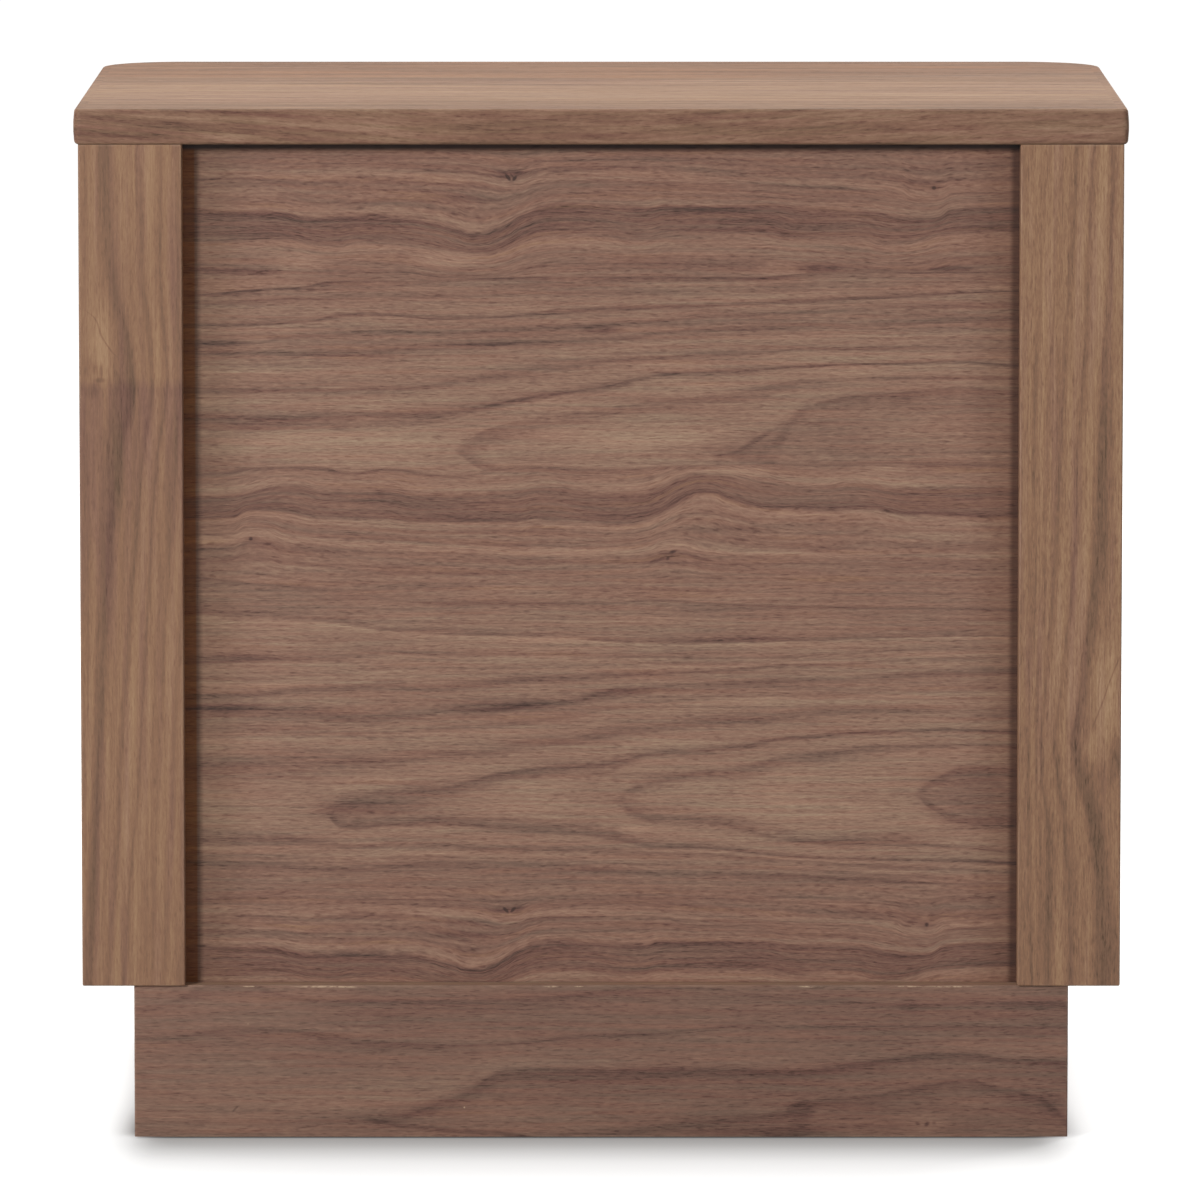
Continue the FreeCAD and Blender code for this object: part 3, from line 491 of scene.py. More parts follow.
        (-200, -231.5, 25, 3.0, -0.22), (-53, -232.6, 38, 4.0, -0.2, -3), (8, -239, 24, 3.4, -0.14, -6),
        (67, -268.1, 52, 1.2, -0.08, -1.5), (-144, -374.4, 80, 8, 0.08), (27, -378.7, 48, 10.7, 0.12),
        (-21, -374.4, 32, 8, 0.05), (129, -180.8, 64, 16, 0.08), (-37, -180.8, 32, 13.4, 0.08),
        (-118, -178.1, 38, 7, -0.16), (198, -183.5, 26, 12, -0.1), (123, -374.4, 30, 14, -0.08),
        (176, -379.7, 32, 13.4, 0.05), (88, -378, 12, 7, -0.06), (83, -375.4, 15, 1.7, -0.17, -31),
        (68, -367.4, 9, 1.4, -0.13, -8)],
    "wavyMarks": [(-162, -469.6, 19, 6.4, 0.16), (-81, -471.7, 24, 5.3, 0.14), (96, -467.4, 16, 4.3, 0.12),
        (115, -467.4, 16, 2.1, -0.22), (186, -466.9, 15, 1.7, -0.22), (-190, -465, 26, 2.4, -0.18),
        (177, -509.4, 1.3, 1.3, -0.42), (177, -509, 5.0, 1.5, -0.14), (-190, -508, 44, 2.6, 0.1),
        (-75, -504, 26, 3.0, -0.12), (190, -502, 16, 5, 0.02)],
    # first three broad ones: painted shade darkens the top leaf under the slab, the bottom leaf is a little
    # darker and the turned one paler; then the small knots of the three copies, which differ: a soft smudge
    # with short dark flecks that lean together
    "knotsAndPaintedShade": [(0, -512, 420, 62, -0.06), (0, -262, 420, 34, 0.05), (0, -108, 420, 40, -0.045),
        (-47.7, -517.3, 11, 3.4, -0.16), (-52.5, -518.5, 3.0, 1.1, -0.16, 6),
        (-43.4, -518.1, 3.4, 1.2, -0.18, -6), (-49.4, -515.3, 2.7, 1.0, -0.5, 53),
        (-46.1, -514.8, 2.1, 0.95, -0.46, -48), (-47.4, -516.5, 2.0, 0.6, -0.2, 49),
        (39.0, -313.8, 18, 2.4, -0.1), (31.6, -311.4, 8.6, 1.2, -0.24, -11),
        (38.4, -315.3, 2.6, 1.1, -0.4, -20), (53.0, -311.6, 6.6, 1.2, -0.26, 13),
        (35.6, -311.6, 1.2, 1.0, -0.24, -40), (-48.5, -122.6, 12, 2.8, -0.12),
        (-51.0, -122.0, 2.4, 0.9, -0.44, 47), (-47.2, -122.2, 2.1, 0.9, -0.42, -44),
        (-43.4, -123.4, 3.2, 1.0, -0.16, -14), (-56.5, -122.0, 4.0, 1.0, -0.14, 8)],
}


def finishRearPanel(look):
    material, tree = newMaterial("rearPanelVeneer")
    place = boardPlace(tree, levelBack)
    along, across, depth = split(place)
    ripple = swing(noise(place, look["rippleSize"], 2.0, 0.5, 1.3), look["ripple"])
    across = added(across, ripple)
    joints = [curveThrough(along, points) for points in look["leafJoints"]]
    past = [ranged(minus(across, j), -look["jointBlend"], look["jointBlend"]) for j in joints]

    # the wavy leaf comes three times: as it grew, turned end for end, and moved down
    turned = minus(past[1], past[2])
    moved = past[3]
    toTurn = maths("MULTIPLY_ADD", turned, -2.0, 1.0)
    twin = look["wavyTwin"]
    wavyAlong, wavyAcross = [
        added(times(way, toTurn), times(turned, twin["turned"][n]), times(moved, twin["moved"][n]))
        for n, way in enumerate((along, across))]
    wavyHeight = guidedHeight(wavyAlong, wavyAcross, look["wavyLeaf"])
    wavyTone = brokenLines(wavyAlong, wavyHeight, look["wavyTone"], 1.0)
    wavyTone = spots(joined(wavyAlong, wavyAcross, 0.0), wavyTone, look["wavyMarks"])

    def archTone(arch):
        # folded over the middle of the arches, so that both sides of an arch share a line
        off = minus(curveThrough(along, arch["middle"]), across)
        folded = maths("SQRT", maths("MULTIPLY_ADD", off, off, look["foldSoft"]))
        inner = [curveThrough(along, points) for points in arch["lines"]]
        if "above" in arch:
            upper = ranged(off, -look["foldBlend"], look["foldBlend"])
            above = [curveThrough(along, points) for points in arch["above"]]
            below = [curveThrough(along, points) for points in arch["below"]]
            missing = len(above) - len(below)
            below += [added(below[-1], look["outerSpacing"] * (n + 1)) for n in range(missing)]
            inner += [blended(upper, b, a) for a, b in zip(above, below)]
        height = added(*[ranged(folded, a, b) for a, b in zip(inner, inner[1:])])
        return brokenLines(along, height, arch["tone"], ranged(off, -1.0, 1.0, 3.0, 7.0))

    upperArch, lowerArch = archTone(look["upperArch"]), archTone(look["lowerArch"])
    archMix = spots(place, blended(past[2], upperArch, lowerArch), look["marks"])
    isArch = added(minus(past[0], past[1]), minus(past[2], past[3]))
    tone = spots(place, blended(isArch, wavyTone, archMix), look["knotsAndPaintedShade"])
    # dark lines along the leaves' joints and a few long threads between them, thinning out here and there
    faint = ranged(noise(place, look["fadeSize"], 2.0, 0.5, 6.1), *look["fade"])
    marks = 0.0
    for joint, (offset, halfWidth, change) in zip(joints, look["jointLines"]):
        off = maths("ABSOLUTE", minus(minus(across, joint), offset))
        marks = added(marks, ranged(off, halfWidth, halfWidth * 0.2, 0.0, change, soft=True))
    marks = strokes(along, across, marks, look["threads"])
    tone = added(maths("MULTIPLY_ADD", marks, faint, tone), look["lift"])
    # fibres follow the waves of the wavy leaf, and run straight through the arches
    reachUp = maths("MINIMUM", minus(wavyAcross, look["wavyLeaf"][0][0][1]), 0.0)
    reachDown = maths("MAXIMUM", minus(wavyAcross, look["wavyLeaf"][-1][0][1]), 0.0)
    wavyFlow = added(times(wavyHeight, lineSpacing), reachUp, reachDown,
                     times(added(past[1], past[3]), look["twinGap"]))
    flow = joined(along, blended(isArch, wavyFlow, across), depth)
    warm = blended(isArch, look["wavyWarm"], look["archWarm"])
    # painted shade in the recess corners and under the slab darkens the panel's colour
    walnutSurface(flow, tone, warm, look, shade=paintedCornerShade(place, look["paintedCornerShade"]))
    dress(look["node"], material)
    print("rear panel finished")


finishRearPanel(rearPanel)


# two boards of one tree, with a branch in each at its own height
rearStiles = {
    "seed": 5.0, "roughness": 0.46, "lift": 0.02, "warm": 1.95, "face": 188.5, "wear": 1.4,
    "rippleSize": (60, 6, 6), "ripple": 1.8,
    "grain": {"streakAmount": 0.26, "lineAmount": 0.24, "fibreAmount": 0.36, "poreDepth": 0.08,
              "hueAmount": 2.4, "hueSize": (120, 6, 6)},
}
leftStile = {
    "node": "right_rear_post", "lean": 0.55,
    "lines": [
        [(-533, -272.2), (-493, -273.5), (-461, -274.7), (-429, -277), (-408, -276.1), (-387, -274.1),
         (-365, -274.2), (-312, -273.4), (-237, -273.9), (-150, -278.6), (-83, -283.3)],
        [(-533, -263.2), (-504, -262.8), (-482, -261.9), (-461, -259.3), (-440, -254.7), (-419, -250.5),
         (-408, -249.5), (-397, -250.6), (-376, -255.3), (-344, -258.9), (-322, -262.2), (-301, -263.4),
         (-242, -266.4), (-193, -268.8), (-150, -270.9), (-83, -274.3)],
        [(-533, -245.2), (-493, -244.3), (-467, -243.9), (-451, -242.4), (-440, -240.3), (-419, -238.8),
         (-408, -238.4), (-395, -239.5), (-370, -243.3), (-325, -247.3), (-301, -249.5), (-242, -253.6),
         (-215, -255.8), (-172, -257.7), (-134, -260.5), (-83, -264)],
        [(-533, -233.5), (-472, -234.3), (-451, -233.4), (-429, -231.9), (-408, -230.9), (-395, -232),
         (-365, -236.4), (-312, -239.9), (-242, -244), (-193, -246.9), (-150, -250.8), (-83, -254.9)],
        [(-533, -224.5), (-451, -224.9), (-408, -222.9), (-381, -225.2), (-333, -228.6), (-237, -234.4),
         (-129, -238.7), (-83, -240.5)],
        [(-533, -217.1), (-451, -216.9), (-408, -214.4), (-381, -217.8), (-333, -221.2), (-237, -226.9),
         (-129, -231.7), (-83, -234.1)],
        [(-533, -206.5), (-408, -205.9), (-333, -210.5), (-236, -218.4), (-129, -224.2), (-83, -226.6)],
    ],
    "tone": [(0.0, 0.48), (0.2, 0.56), (0.42, 0.56), (0.6, 0.44), (0.82, 0.37), (1.0, 0.3), (1.12, 0.34),
        (1.24, 0.46), (1.4, 0.55), (1.6, 0.5), (1.8, 0.53), (1.92, 0.43), (2.04, 0.4), (2.2, 0.55),
        (2.45, 0.62), (2.65, 0.57), (2.86, 0.49), (3.0, 0.38), (3.14, 0.53), (3.35, 0.59), (3.6, 0.5),
        (3.9, 0.45), (4.02, 0.42), (4.25, 0.55), (4.6, 0.58), (4.9, 0.47), (5.06, 0.44), (5.4, 0.55),
        (5.8, 0.48), (6.0, 0.44)],
    "marks": [(-430, -263, 26, 9, 0.16), (-415.5, -271.8, 7, 5, -0.1), (-408.5, -266.2, 1.6, 3.2, -0.22),
        (-413.5, -265.4, 5, 1.2, -0.26), (-403, -269.7, 5, 4.4, -0.12), (-520, -250, 60, 30, 0.03)],
    "cracks": [([(-446, -273.7), (-440, -268), (-432, -265.3), (-424, -260), (-420, -256.4)], 0.8, -0.16)],
    # above this place the board is paler and more golden, below it redder, fading over the next stretch
    "change": {"at": -407.0, "soft": 3.0, "fade": 170.0, "tone": -0.1, "warm": -0.55},
}
rightStile = {
    "node": "left_rear_post", "lean": -0.55,
    "lines": [
        [(-534.7, 223.6), (-82, 223.6)],
        [(-534.7, 237.8), (-502.6, 235.1), (-459.8, 233.3), (-438.4, 232.2), (-395.6, 230.6),
         (-352.8, 230.6), (-310, 231.1), (-288.6, 231), (-267.2, 229.5), (-224.4, 227.9), (-203, 228.2),
         (-181.6, 228.7), (-149.5, 229.5), (-82, 230.1)],
        [(-534.7, 244), (-502.6, 242.9), (-459.8, 241.8), (-427.7, 239.7), (-395.6, 238.3), (-374.2, 236.5),
         (-342.1, 236.5), (-310, 235.9), (-288.6, 235.4), (-235.1, 232.2), (-213.7, 231.7), (-181.6, 233.3),
         (-149.5, 234.3), (-82, 234.3)],
        [(-534.7, 253.4), (-524, 252.4), (-502.6, 251.2), (-481.2, 250.1), (-459.8, 248.8), (-438.4, 247.2),
         (-417, 246.1), (-395.6, 245.3), (-374.2, 244.5), (-352.8, 244), (-331.4, 242.9), (-310, 241.3),
         (-288.6, 240.1), (-267.2, 238.4), (-235.1, 236.1), (-213.7, 234.6), (-203, 234.9), (-181.6, 236.8),
         (-160.2, 239.1), (-138.8, 238.9), (-82, 238.6)],
        [(-534.7, 261.9), (-524, 260.8), (-502.6, 260), (-486.5, 259.2), (-470.5, 258.1), (-449.1, 257.9),
         (-427.7, 257.3), (-417, 256.3), (-395.6, 255.1), (-374.2, 254), (-352.8, 253.2), (-331.4, 253.1),
         (-310, 251.2), (-288.6, 250), (-267.2, 247.5), (-245.8, 245.5), (-235.1, 244.2), (-224.4, 242.9),
         (-213.7, 242.1), (-203, 243.2), (-192.3, 244.2), (-181.6, 246.3), (-160.2, 247.9), (-138.8, 249.8),
         (-117.4, 250.4), (-82, 251.2)],
        [(-534.7, 270.4), (-481.2, 270.2), (-459.8, 269.5), (-438.4, 268.2), (-417, 267), (-395.6, 266.2),
         (-374.2, 264.9), (-352.8, 263.8), (-331.4, 263.2), (-310, 262.3), (-288.6, 260.3), (-267.2, 257.3),
         (-245.8, 255.7), (-235.1, 254.5), (-224.4, 252.6), (-213.7, 251.6), (-203, 252.5), (-192.3, 254.9),
         (-181.6, 258.2), (-170.9, 261.1), (-160.2, 263.5), (-149.5, 265), (-138.8, 266), (-117.4, 266),
         (-82, 265.6)],
        [(-534.7, 273.4), (-502.6, 272.9), (-481.2, 272.3), (-459.8, 271.8), (-438.4, 271.2),
         (-395.6, 271.8), (-374.2, 272.6), (-352.8, 271.8), (-310, 269.4), (-288.6, 265.9), (-267.2, 263.5),
         (-245.8, 260.5), (-235.1, 258.9), (-224.4, 257.3), (-213.7, 256.3), (-205.6, 257.3),
         (-197.6, 260.5), (-186.9, 264), (-176.2, 266.4), (-160.2, 269.6), (-149.5, 271.2), (-138.8, 272.6),
         (-117.4, 275), (-82, 276.1)],
        [(-534.7, 279.3), (-82, 279.3)],
    ],
    "tone": [(0.0, 0.5), (0.4, 0.54), (0.8, 0.5), (1.0, 0.43), (1.25, 0.55), (1.7, 0.56), (2.0, 0.46),
        (2.4, 0.53), (2.75, 0.48), (3.0, 0.36), (3.15, 0.48), (3.4, 0.6), (3.75, 0.58), (3.9, 0.48),
        (4.0, 0.36), (4.14, 0.48), (4.4, 0.6), (4.7, 0.58), (4.86, 0.5), (5.0, 0.33), (5.3, 0.32),
        (5.7, 0.36), (5.95, 0.44), (6.2, 0.54), (6.6, 0.6), (7.0, 0.56)],
    "marks": [(-500, 270, 90, 8, 0.09), (-490, 246, 110, 20, 0.06), (-300, 268, 60, 9, -0.04),
        (-243, 269.5, 30, 8, 0.16), (-212, 262.5, 9, 5, 0.14), (-206, 274.5, 12, 3.6, -0.16),
        (-196, 270, 10, 6, -0.1), (-215, 240, 26, 20, -0.05)],
    "cracks": [([(-262, 277.5), (-249, 271.8), (-233, 266.4), (-221, 261.6)], 0.7, -0.2)],
    "change": {"at": -204.0, "soft": 26.0, "fade": 500.0, "tone": -0.06, "warm": 0.3},
    "grain": {"streakAmount": 0.32, "lineAmount": 0.34, "fibreAmount": 0.56, "poreDepth": 0.12},
}


def finishRearStile(side):
    grain = {**rearStiles["grain"], **side.get("grain", {})}
    look = {**rearStiles, **side, "grain": grain}
    material, tree = newMaterial(look["node"] + "Walnut")
    whole = boardPlace(tree, uprightBack)
    along, across, depth = split(whole)
    inward = minus(look["face"], depth)  # rings lean as they go into the board
    ripple = swing(noise(whole, look["rippleSize"], 2.0, 0.5, 2.1), look["ripple"])
    across = added(across, ripple, times(inward, look["lean"]))
    tone = curveThrough(guidedHeight(along, across, look["lines"]), look["tone"], sharp=True)
    drawn = joined(along, across, depth)
    tone = spots(drawn, tone, look["marks"])
    tone = strokes(along, across, tone, look["cracks"])
    change = look["change"]
    below = times(ranged(along, change["at"] - change["soft"], change["at"] + change["soft"]),
                  ranged(along, change["at"] + change["fade"], change["at"]))
    tone = added(maths("MULTIPLY_ADD", below, change["tone"], tone), look["lift"])
    warm = maths("MULTIPLY_ADD", below, change["warm"], look["warm"])
    walnutSurface(drawn, tone, warm, look, edgeWear(tree, look["node"], look["wear"]))
    dress(look["node"], material)


for side in (leftStile, rightStile):
    finishRearStile(side)
print("rear stiles finished")


rearPlinth = {
    # lift is the change of tone at the left and right end, and the number after it painted light that makes
    # the upper edge paler
    "node": "plinth_rear_board", "seed": 8.0, "roughness": 0.5, "warm": 0.5, "face": -185.5, "lean": 0.6,
    "wear": 1.4, "lift": (-0.01, -0.08), "paintedTopLight": 0.34, "topTurn": (0.6, 0.9), "flakes": (0.4, 0.55),
    "lines": [
        [(-251, -95.9), (250, -95.9)],
        [(-251, -68.9), (-241, -70), (-233, -72.7), (-225, -75.4), (-214, -81.3), (-200, -84.6),
         (-184, -82.4), (-174, -78.6), (-160, -75.9), (-144, -74.3), (-107, -73.7), (-53, -74.3),
         (-21, -76.4), (0, -79.7), (27, -81.3), (54, -80.8), (80, -78), (107, -75.3), (134, -73.7),
         (161, -72.6), (250, -72.6)],
        [(-251, -54.3), (-241, -54.3), (-214, -57), (-187, -59.7), (-160, -57.5), (-134, -53.7),
         (-107, -51.5), (-80, -50.5), (-53, -51), (-27, -53.7), (0, -55.3), (27, -56.4), (54, -59.1),
         (80, -60.7), (250, -60.7)],
        [(-252, -8.2), (-161, -8.7), (-127, -10.4), (-107, -12), (-96, -15.8), (-80, -21.2), (-69, -26.6),
         (-59, -33.1), (-48, -36.9), (-27, -37.4), (0, -36.4), (54, -37.4), (107, -36.3), (123, -38),
         (139, -40.1), (161, -43.4), (188, -45.6), (201, -45), (214, -42.8), (250, -41.8)],
        [(-252, 7), (-127, 4.3), (-29, 0.5), (54, -8.2), (97, -13), (102, -16.8), (110, -19.5), (139, -21.7),
         (161, -25.5), (177, -28.8), (193, -30.9), (206, -28.7), (225, -24.4), (236, -21.2), (241, -16.8),
         (250, -8.1)],
        [(-252, 28.7), (102, 15.2), (251, 15.2)],
    ],
    "tone": [(0.0, 0.5), (0.7, 0.51), (0.92, 0.46), (1.0, 0.35), (1.1, 0.42), (1.35, 0.48), (1.6, 0.45),
        (1.85, 0.51), (1.95, 0.45), (2.0, 0.34), (2.07, 0.46), (2.3, 0.51), (2.6, 0.55), (2.85, 0.55),
        (2.94, 0.43), (3.0, 0.29), (3.1, 0.34), (3.24, 0.45), (3.6, 0.51), (3.88, 0.5), (3.97, 0.35),
        (4.02, 0.36), (4.15, 0.46), (4.5, 0.5), (5.0, 0.48)],
    "rippleSize": (46, 7, 7), "ripple": 1.8,
    "lowerBranches": [
        ([(-127, -10.4), (-107, -7.1), (-80, -4.4), (-53, -2.7), (-37, 0), (-29, 2.1)], 2.0, -0.18),
    ],
    "marks": [(169.6, -8.2, 1.6, 1.0, -0.26, 20), (174.6, -8.0, 1.8, 1.2, -0.34, -30),
        (178.4, -8.6, 1.3, 0.9, -0.24), (173, -8, 14, 7, 0.1), (98, -2.4, 32, 4.5, -0.16),
        (107, -13, 8, 10, -0.13), (166, -71, 12, 4, -0.08), (232, -72, 22, 4, -0.08),
        (241, -20, 8, 9, -0.09), (-215, -8.8, 84, 5.0, 0.22), (-140, -16, 40, 10, 0.04),
        (200, -22, 26, 9, 0.05), (-196, -16, 2.6, 0.7, -0.24, -45)],
    "chips": [(-150, -82.3, 16, 0.55), (-136, -82.1, 6, 0.5), (-188, -82.4, 5, 0.4), (-27, -82.3, 4, 0.45),
        (-12, -82.4, 3, 0.4), (111, -82.3, 7, 0.5), (164, -82.4, 9, 0.4), (186, -82.3, 14, 0.45),
        (-188.9, -62.2, 0.55, 0.45), (-73.3, -16.9, 0.5, 0.6)],
    "flakeSize": (2.6, 1.0, 1.0),
    "grain": {"streakAmount": 0.26, "lineAmount": 0.24, "fibreAmount": 0.46, "cloudAmount": 0.2},
}


def finishRearPlinth(look):
    material, tree = newMaterial("rearPlinthWalnut")
    place = boardPlace(tree, levelBack)
    along, across, depth = split(place)
    ripple = swing(noise(place, look["rippleSize"], 2.0, 0.5, 3.7), look["ripple"])
    across = added(across, ripple, times(minus(look["face"], depth), look["lean"]))
    tone = curveThrough(guidedHeight(along, across, look["lines"]), look["tone"], sharp=True)
    drawn = joined(along, across, depth)
    tone = spots(drawn, tone, look["marks"])
    tone = strokes(along, across, tone, look["lowerBranches"])
    tone = added(tone, ranged(along, -250, 250, *look["lift"]))
    # painted light: faces that look up, the board's upper edge, are made paler
    normal = tree.nodes.new("ShaderNodeNewGeometry").outputs["Normal"]
    tone = maths("MULTIPLY_ADD", ranged(split(normal)[2], *look["topTurn"]), look["paintedTopLight"], tone)
    flaked = ranged(noise(place, look["flakeSize"], 3.0, 0.7, 5.0), *look["flakes"])
    chips = times(spotMask(place, look["chips"]), flaked)
    walnutSurface(drawn, tone, look["warm"], look, edgeWear(tree, look["node"], look["wear"]), chips=chips)
    dress(look["node"], material)
    print("rear plinth board finished")


finishRearPlinth(rearPlinth)


# slab and lipping share one lengthwise pattern, the edge has its own streaks
topBoard = {
    # tone runs from the front edge to the rear one; reddish is the front edge of the greyer part, and it and
    # the lines run left to right as seen from behind
    "seed": 12.0, "roughness": 0.64, "centre": (0, 0, 0.553), "ramps": ("rosy", "tan", "honey"),
    "tone": [(-190, 0.34), (-170, 0.38), (-120, 0.4), (-80, 0.4), (-62, 0.46), (-40, 0.45), (-10, 0.52),
        (40, 0.57), (90, 0.57), (125, 0.52), (150, 0.46), (178, 0.45), (190, 0.46)],
    "reddish": [(-280, -62), (-120, -58), (0, -52), (120, -70), (280, -98)],
    "lines": [
        ([(-250, -18), (-190, -10), (-120, -4), (-60, 0), (40, 6)], 5.0, -0.2),
        ([(-60, -66), (20, -66), (100, -76), (280, -96)], 3.0, -0.16),
        ([(60, -82), (160, -92), (270, -110)], 2.4, -0.12),
        ([(-270, -70), (-150, -70), (-20, -58)], 2.6, 0.14),
        ([(180, -6), (230, -14), (279, -26)], 3.2, 0.16),
        ([(190, 54), (240, 48), (279, 40)], 4.0, -0.12),
        ([(-260, 60), (-200, 66), (-150, 66)], 5.0, 0.12),
    ],
    "driftSize": (160, 24, 24), "drift": 26.0, "waverSize": (60, 9, 9), "waver": 9.0, "lineFade": 70.0,
    "breakSize": (60, 4, 4), "breaks": (0.36, 0.6, 0.25, 1.1), "softness": 7.0, "warm": (1.0, 1.8),
    "edgeTurn": (0.8, 0.6), "edgeSize": (90, 9, 9), "edgeWarm": 0.4,
    "edgeRoughness": 0.5, "edgeTone": 0.52, "edgeSwing": 0.62, "edgeTop": 553.0, "wear": 1.6,
    "edgeLine": [(-277, -557), (-212, -551.7), (-132, -546.9), (-53, -543.2), (27, -544.2), (106, -547.9),
        (159, -551.1), (278, -555.9)],
    "grain": {
        "gloss": 0.12, "streakSize": (230, 13, 13), "streakAmount": 0.38, "lineSize": (130, 5.0, 5.0),
        "lineAmount": 0.62, "fibreSize": (16, 1.8, 1.8), "fibreAmount": 0.5, "poreDepth": 0.08,
        "hueSize": (200, 14, 14), "hueAmount": 1.8,
    },
    "edgeGrain": {
        "gloss": 0.12, "streakSize": (70, 4.2, 4.2), "streakAmount": 0.56, "lineSize": (24, 1.8, 1.8),
        "lineAmount": 0.46, "fibreSize": (4.5, 1.0, 1.0), "fibreAmount": 0.4, "hueAmount": 2.2,
    },
}


def topFace(place, look):
    # tone and warmth of the upper face; seen from behind, left is +X and the rear edge is nearest
    along, across = split(place)[:2]
    leftToRight = times(along, -1.0)
    drift = swing(noise(place, look["driftSize"], 2.0, 0.5, 6.0), look["drift"])
    tone = curveThrough(added(across, drift), look["tone"])
    wavering = added(across, swing(noise(place, look["waverSize"], 3.0, 0.6, 8.0), look["waver"]))
    drawn = strokes(leftToRight, wavering, 0.0, look["lines"], look["lineFade"])
    broken = ranged(noise(place, look["breakSize"], 3.0, 0.6, 4.0), *look["breaks"])
    tone = maths("MULTIPLY_ADD", drawn, broken, tone)
    pastLimit = minus(across, curveThrough(leftToRight, look["reddish"]))
    return tone, ranged(pastLimit, look["softness"], -look["softness"], *look["warm"])


def edgeFace(place, look):
    # tone of the upright edge: streaks that dip towards the middle of its length
    along, across, depth = split(place)
    dip = curveThrough(times(along, -1.0), look["edgeLine"])
    streaked = joined(along, added(depth, dip, look["edgeTop"]), across)
    streaks = noise(streaked, look["edgeSize"], 3.0, 0.6, 3.0)
    return streaked, added(look["edgeTone"], swing(streaks, look["edgeSwing"]))


def finishTop(look):
    for name in ("top_slab", "top_lipping"):
        material, tree = newMaterial(name + "Walnut")
        place = boardPlace(tree, asBuilt, look["centre"])
        tone, warm = topFace(place, look)
        if name == "top_slab":
            walnutSurface(place, tone, warm, look)
        else:
            normal = tree.nodes.new("ShaderNodeNewGeometry").outputs["Normal"]
            edge = ranged(maths("ABSOLUTE", split(normal)[2]), *look["edgeTurn"])
            streaked, edgeTone = edgeFace(place, look)
            tone = blended(edge, tone, edgeTone)
            warm = blended(edge, warm, look["edgeWarm"])
            roughness = blended(edge, look["roughness"], look["edgeRoughness"])
            walnutSurface(streaked, tone, warm, {**look, "grain": look["edgeGrain"], "roughness": roughness},
                          edgeWear(tree, name, look["wear"]))
        dress(name, material)
    print("top finished")


finishTop(topBoard)


# the other walnut boards, each grown round its own pith: grain direction, seed, width of a year ring,
# place of the pith across and below the face, and warmth
boards = {
    "left_front_post": (upright, 21.0, 6.5, (-60, 55), 1.6),
    "right_front_post": (upright, 23.0, 6.5, (52, 60), 1.6),
    "left_outer_panel": (uprightSide, 25.0, 7.0, (10, 46), 1.2),
    "right_outer_panel": (uprightSide, 27.0, 7.0, (-14, 50), 1.2),
    "left_inner_panel": (uprightSide, 29.0, 7.0, (30, 60), 1.0),
    "right_inner_panel": (uprightSide, 31.0, 7.0, (-30, 60), 1.0),
    "top_front_rail": (level, 33.0, 6.0, (40, 40), 1.2),
    "middle_rail": (level, 35.0, 6.0, (-40, 46), 1.2),
    "plinth_front_board": (level, 37.0, 7.0, (-20, 52), 0.6),
    "plinth_left_board": (levelSide, 39.0, 7.0, (24, 50), 0.6),
    "plinth_right_board": (levelSide, 41.0, 7.0, (-18, 54), 0.6),
    "lower_drawer_front": (level, 43.0, 7.4, (-18, 44), 0.9),
    "upper_drawer_front": (level, 43.5, 7.4, (26, 48), 0.9),
}
boardGrowth = {"taper": 0.05, "wander": 30.0, "swell": 34.0, "roughness": 0.46, "wear": 1.8}


def finishBoard(name, look):
    material, tree = newMaterial(name + "Walnut")
    low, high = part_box(name)
    place = boardPlace(tree, look["axes"], (low + high) / 2)
    tone = grownTone(grownHeight(place, look), look["seed"])
    walnutSurface(place, tone, look["warm"], look, edgeWear(tree, name, look["wear"]))
    dress(name, material)


for name, row in boards.items():
    finishBoard(name, {**boardGrowth, **dict(zip(("axes", "seed", "ring", "pith", "warm"), row))})
print("other walnut boards finished")


# inside: birch boxes, floor and cores, and beech dowels
paleWoods = {
    "birch": {"colours": [(0.0, "a4835c"), (0.35, "c2a47c"), (0.6, "d2b78f"), (1.0, "e2cca8")],
              "fibre": 0.5, "roughness": 0.52},
    "beech": {"colours": [(0.0, "9c7048"), (0.4, "bb8d61"), (0.7, "cba074"), (1.0, "dab78e")],
              "fibre": 0.6, "roughness": 0.56},
}
paleGrain = {
    "ring": 4.2, "taper": 0.04, "wander": 24.0, "swell": 20.0, "pithBelow": 46.0,
    "fibreSize": (26, 0.8, 0.8), "fleckSize": (3.2, 0.35, 0.35), "fleckDepth": -0.2,
    "fleckRange": (0.66, 0.74), "fleckBump": -0.6, "bandSize": (0.8, 1, 1), "bandAmount": 0.6,
    "tone": 0.62, "wear": 1.2, "wearSize": (16, 4, 4), "wearRange": (0.45, 0.65, 0.0, 0.35),
    "wornColour": "9c7f5c", "fibreRough": 0.12, "bump": 0.14, "bumpDepth": 0.0001,
}
paleParts = {
    "bottom_panel": ("birch", level), "top_rear_rail": ("birch", level),
    "left_core_rails": ("birch", levelSide), "right_core_rails": ("birch", levelSide),
    "plinth_centre_bearer": ("birch", levelSide), "plinth_corner_blocks": ("birch", upright),
    "side_frame_dowels": ("beech", levelSide), "rail_dowels": ("beech", level),
}
boxParts = {"front": level, "back": level, "left_side": levelSide, "right_side": levelSide, "floor": flat}
for drawer in ("lower", "upper"):
    for part, axes in boxParts.items():
        paleParts[drawer + "_box_" + part] = ("birch", axes)


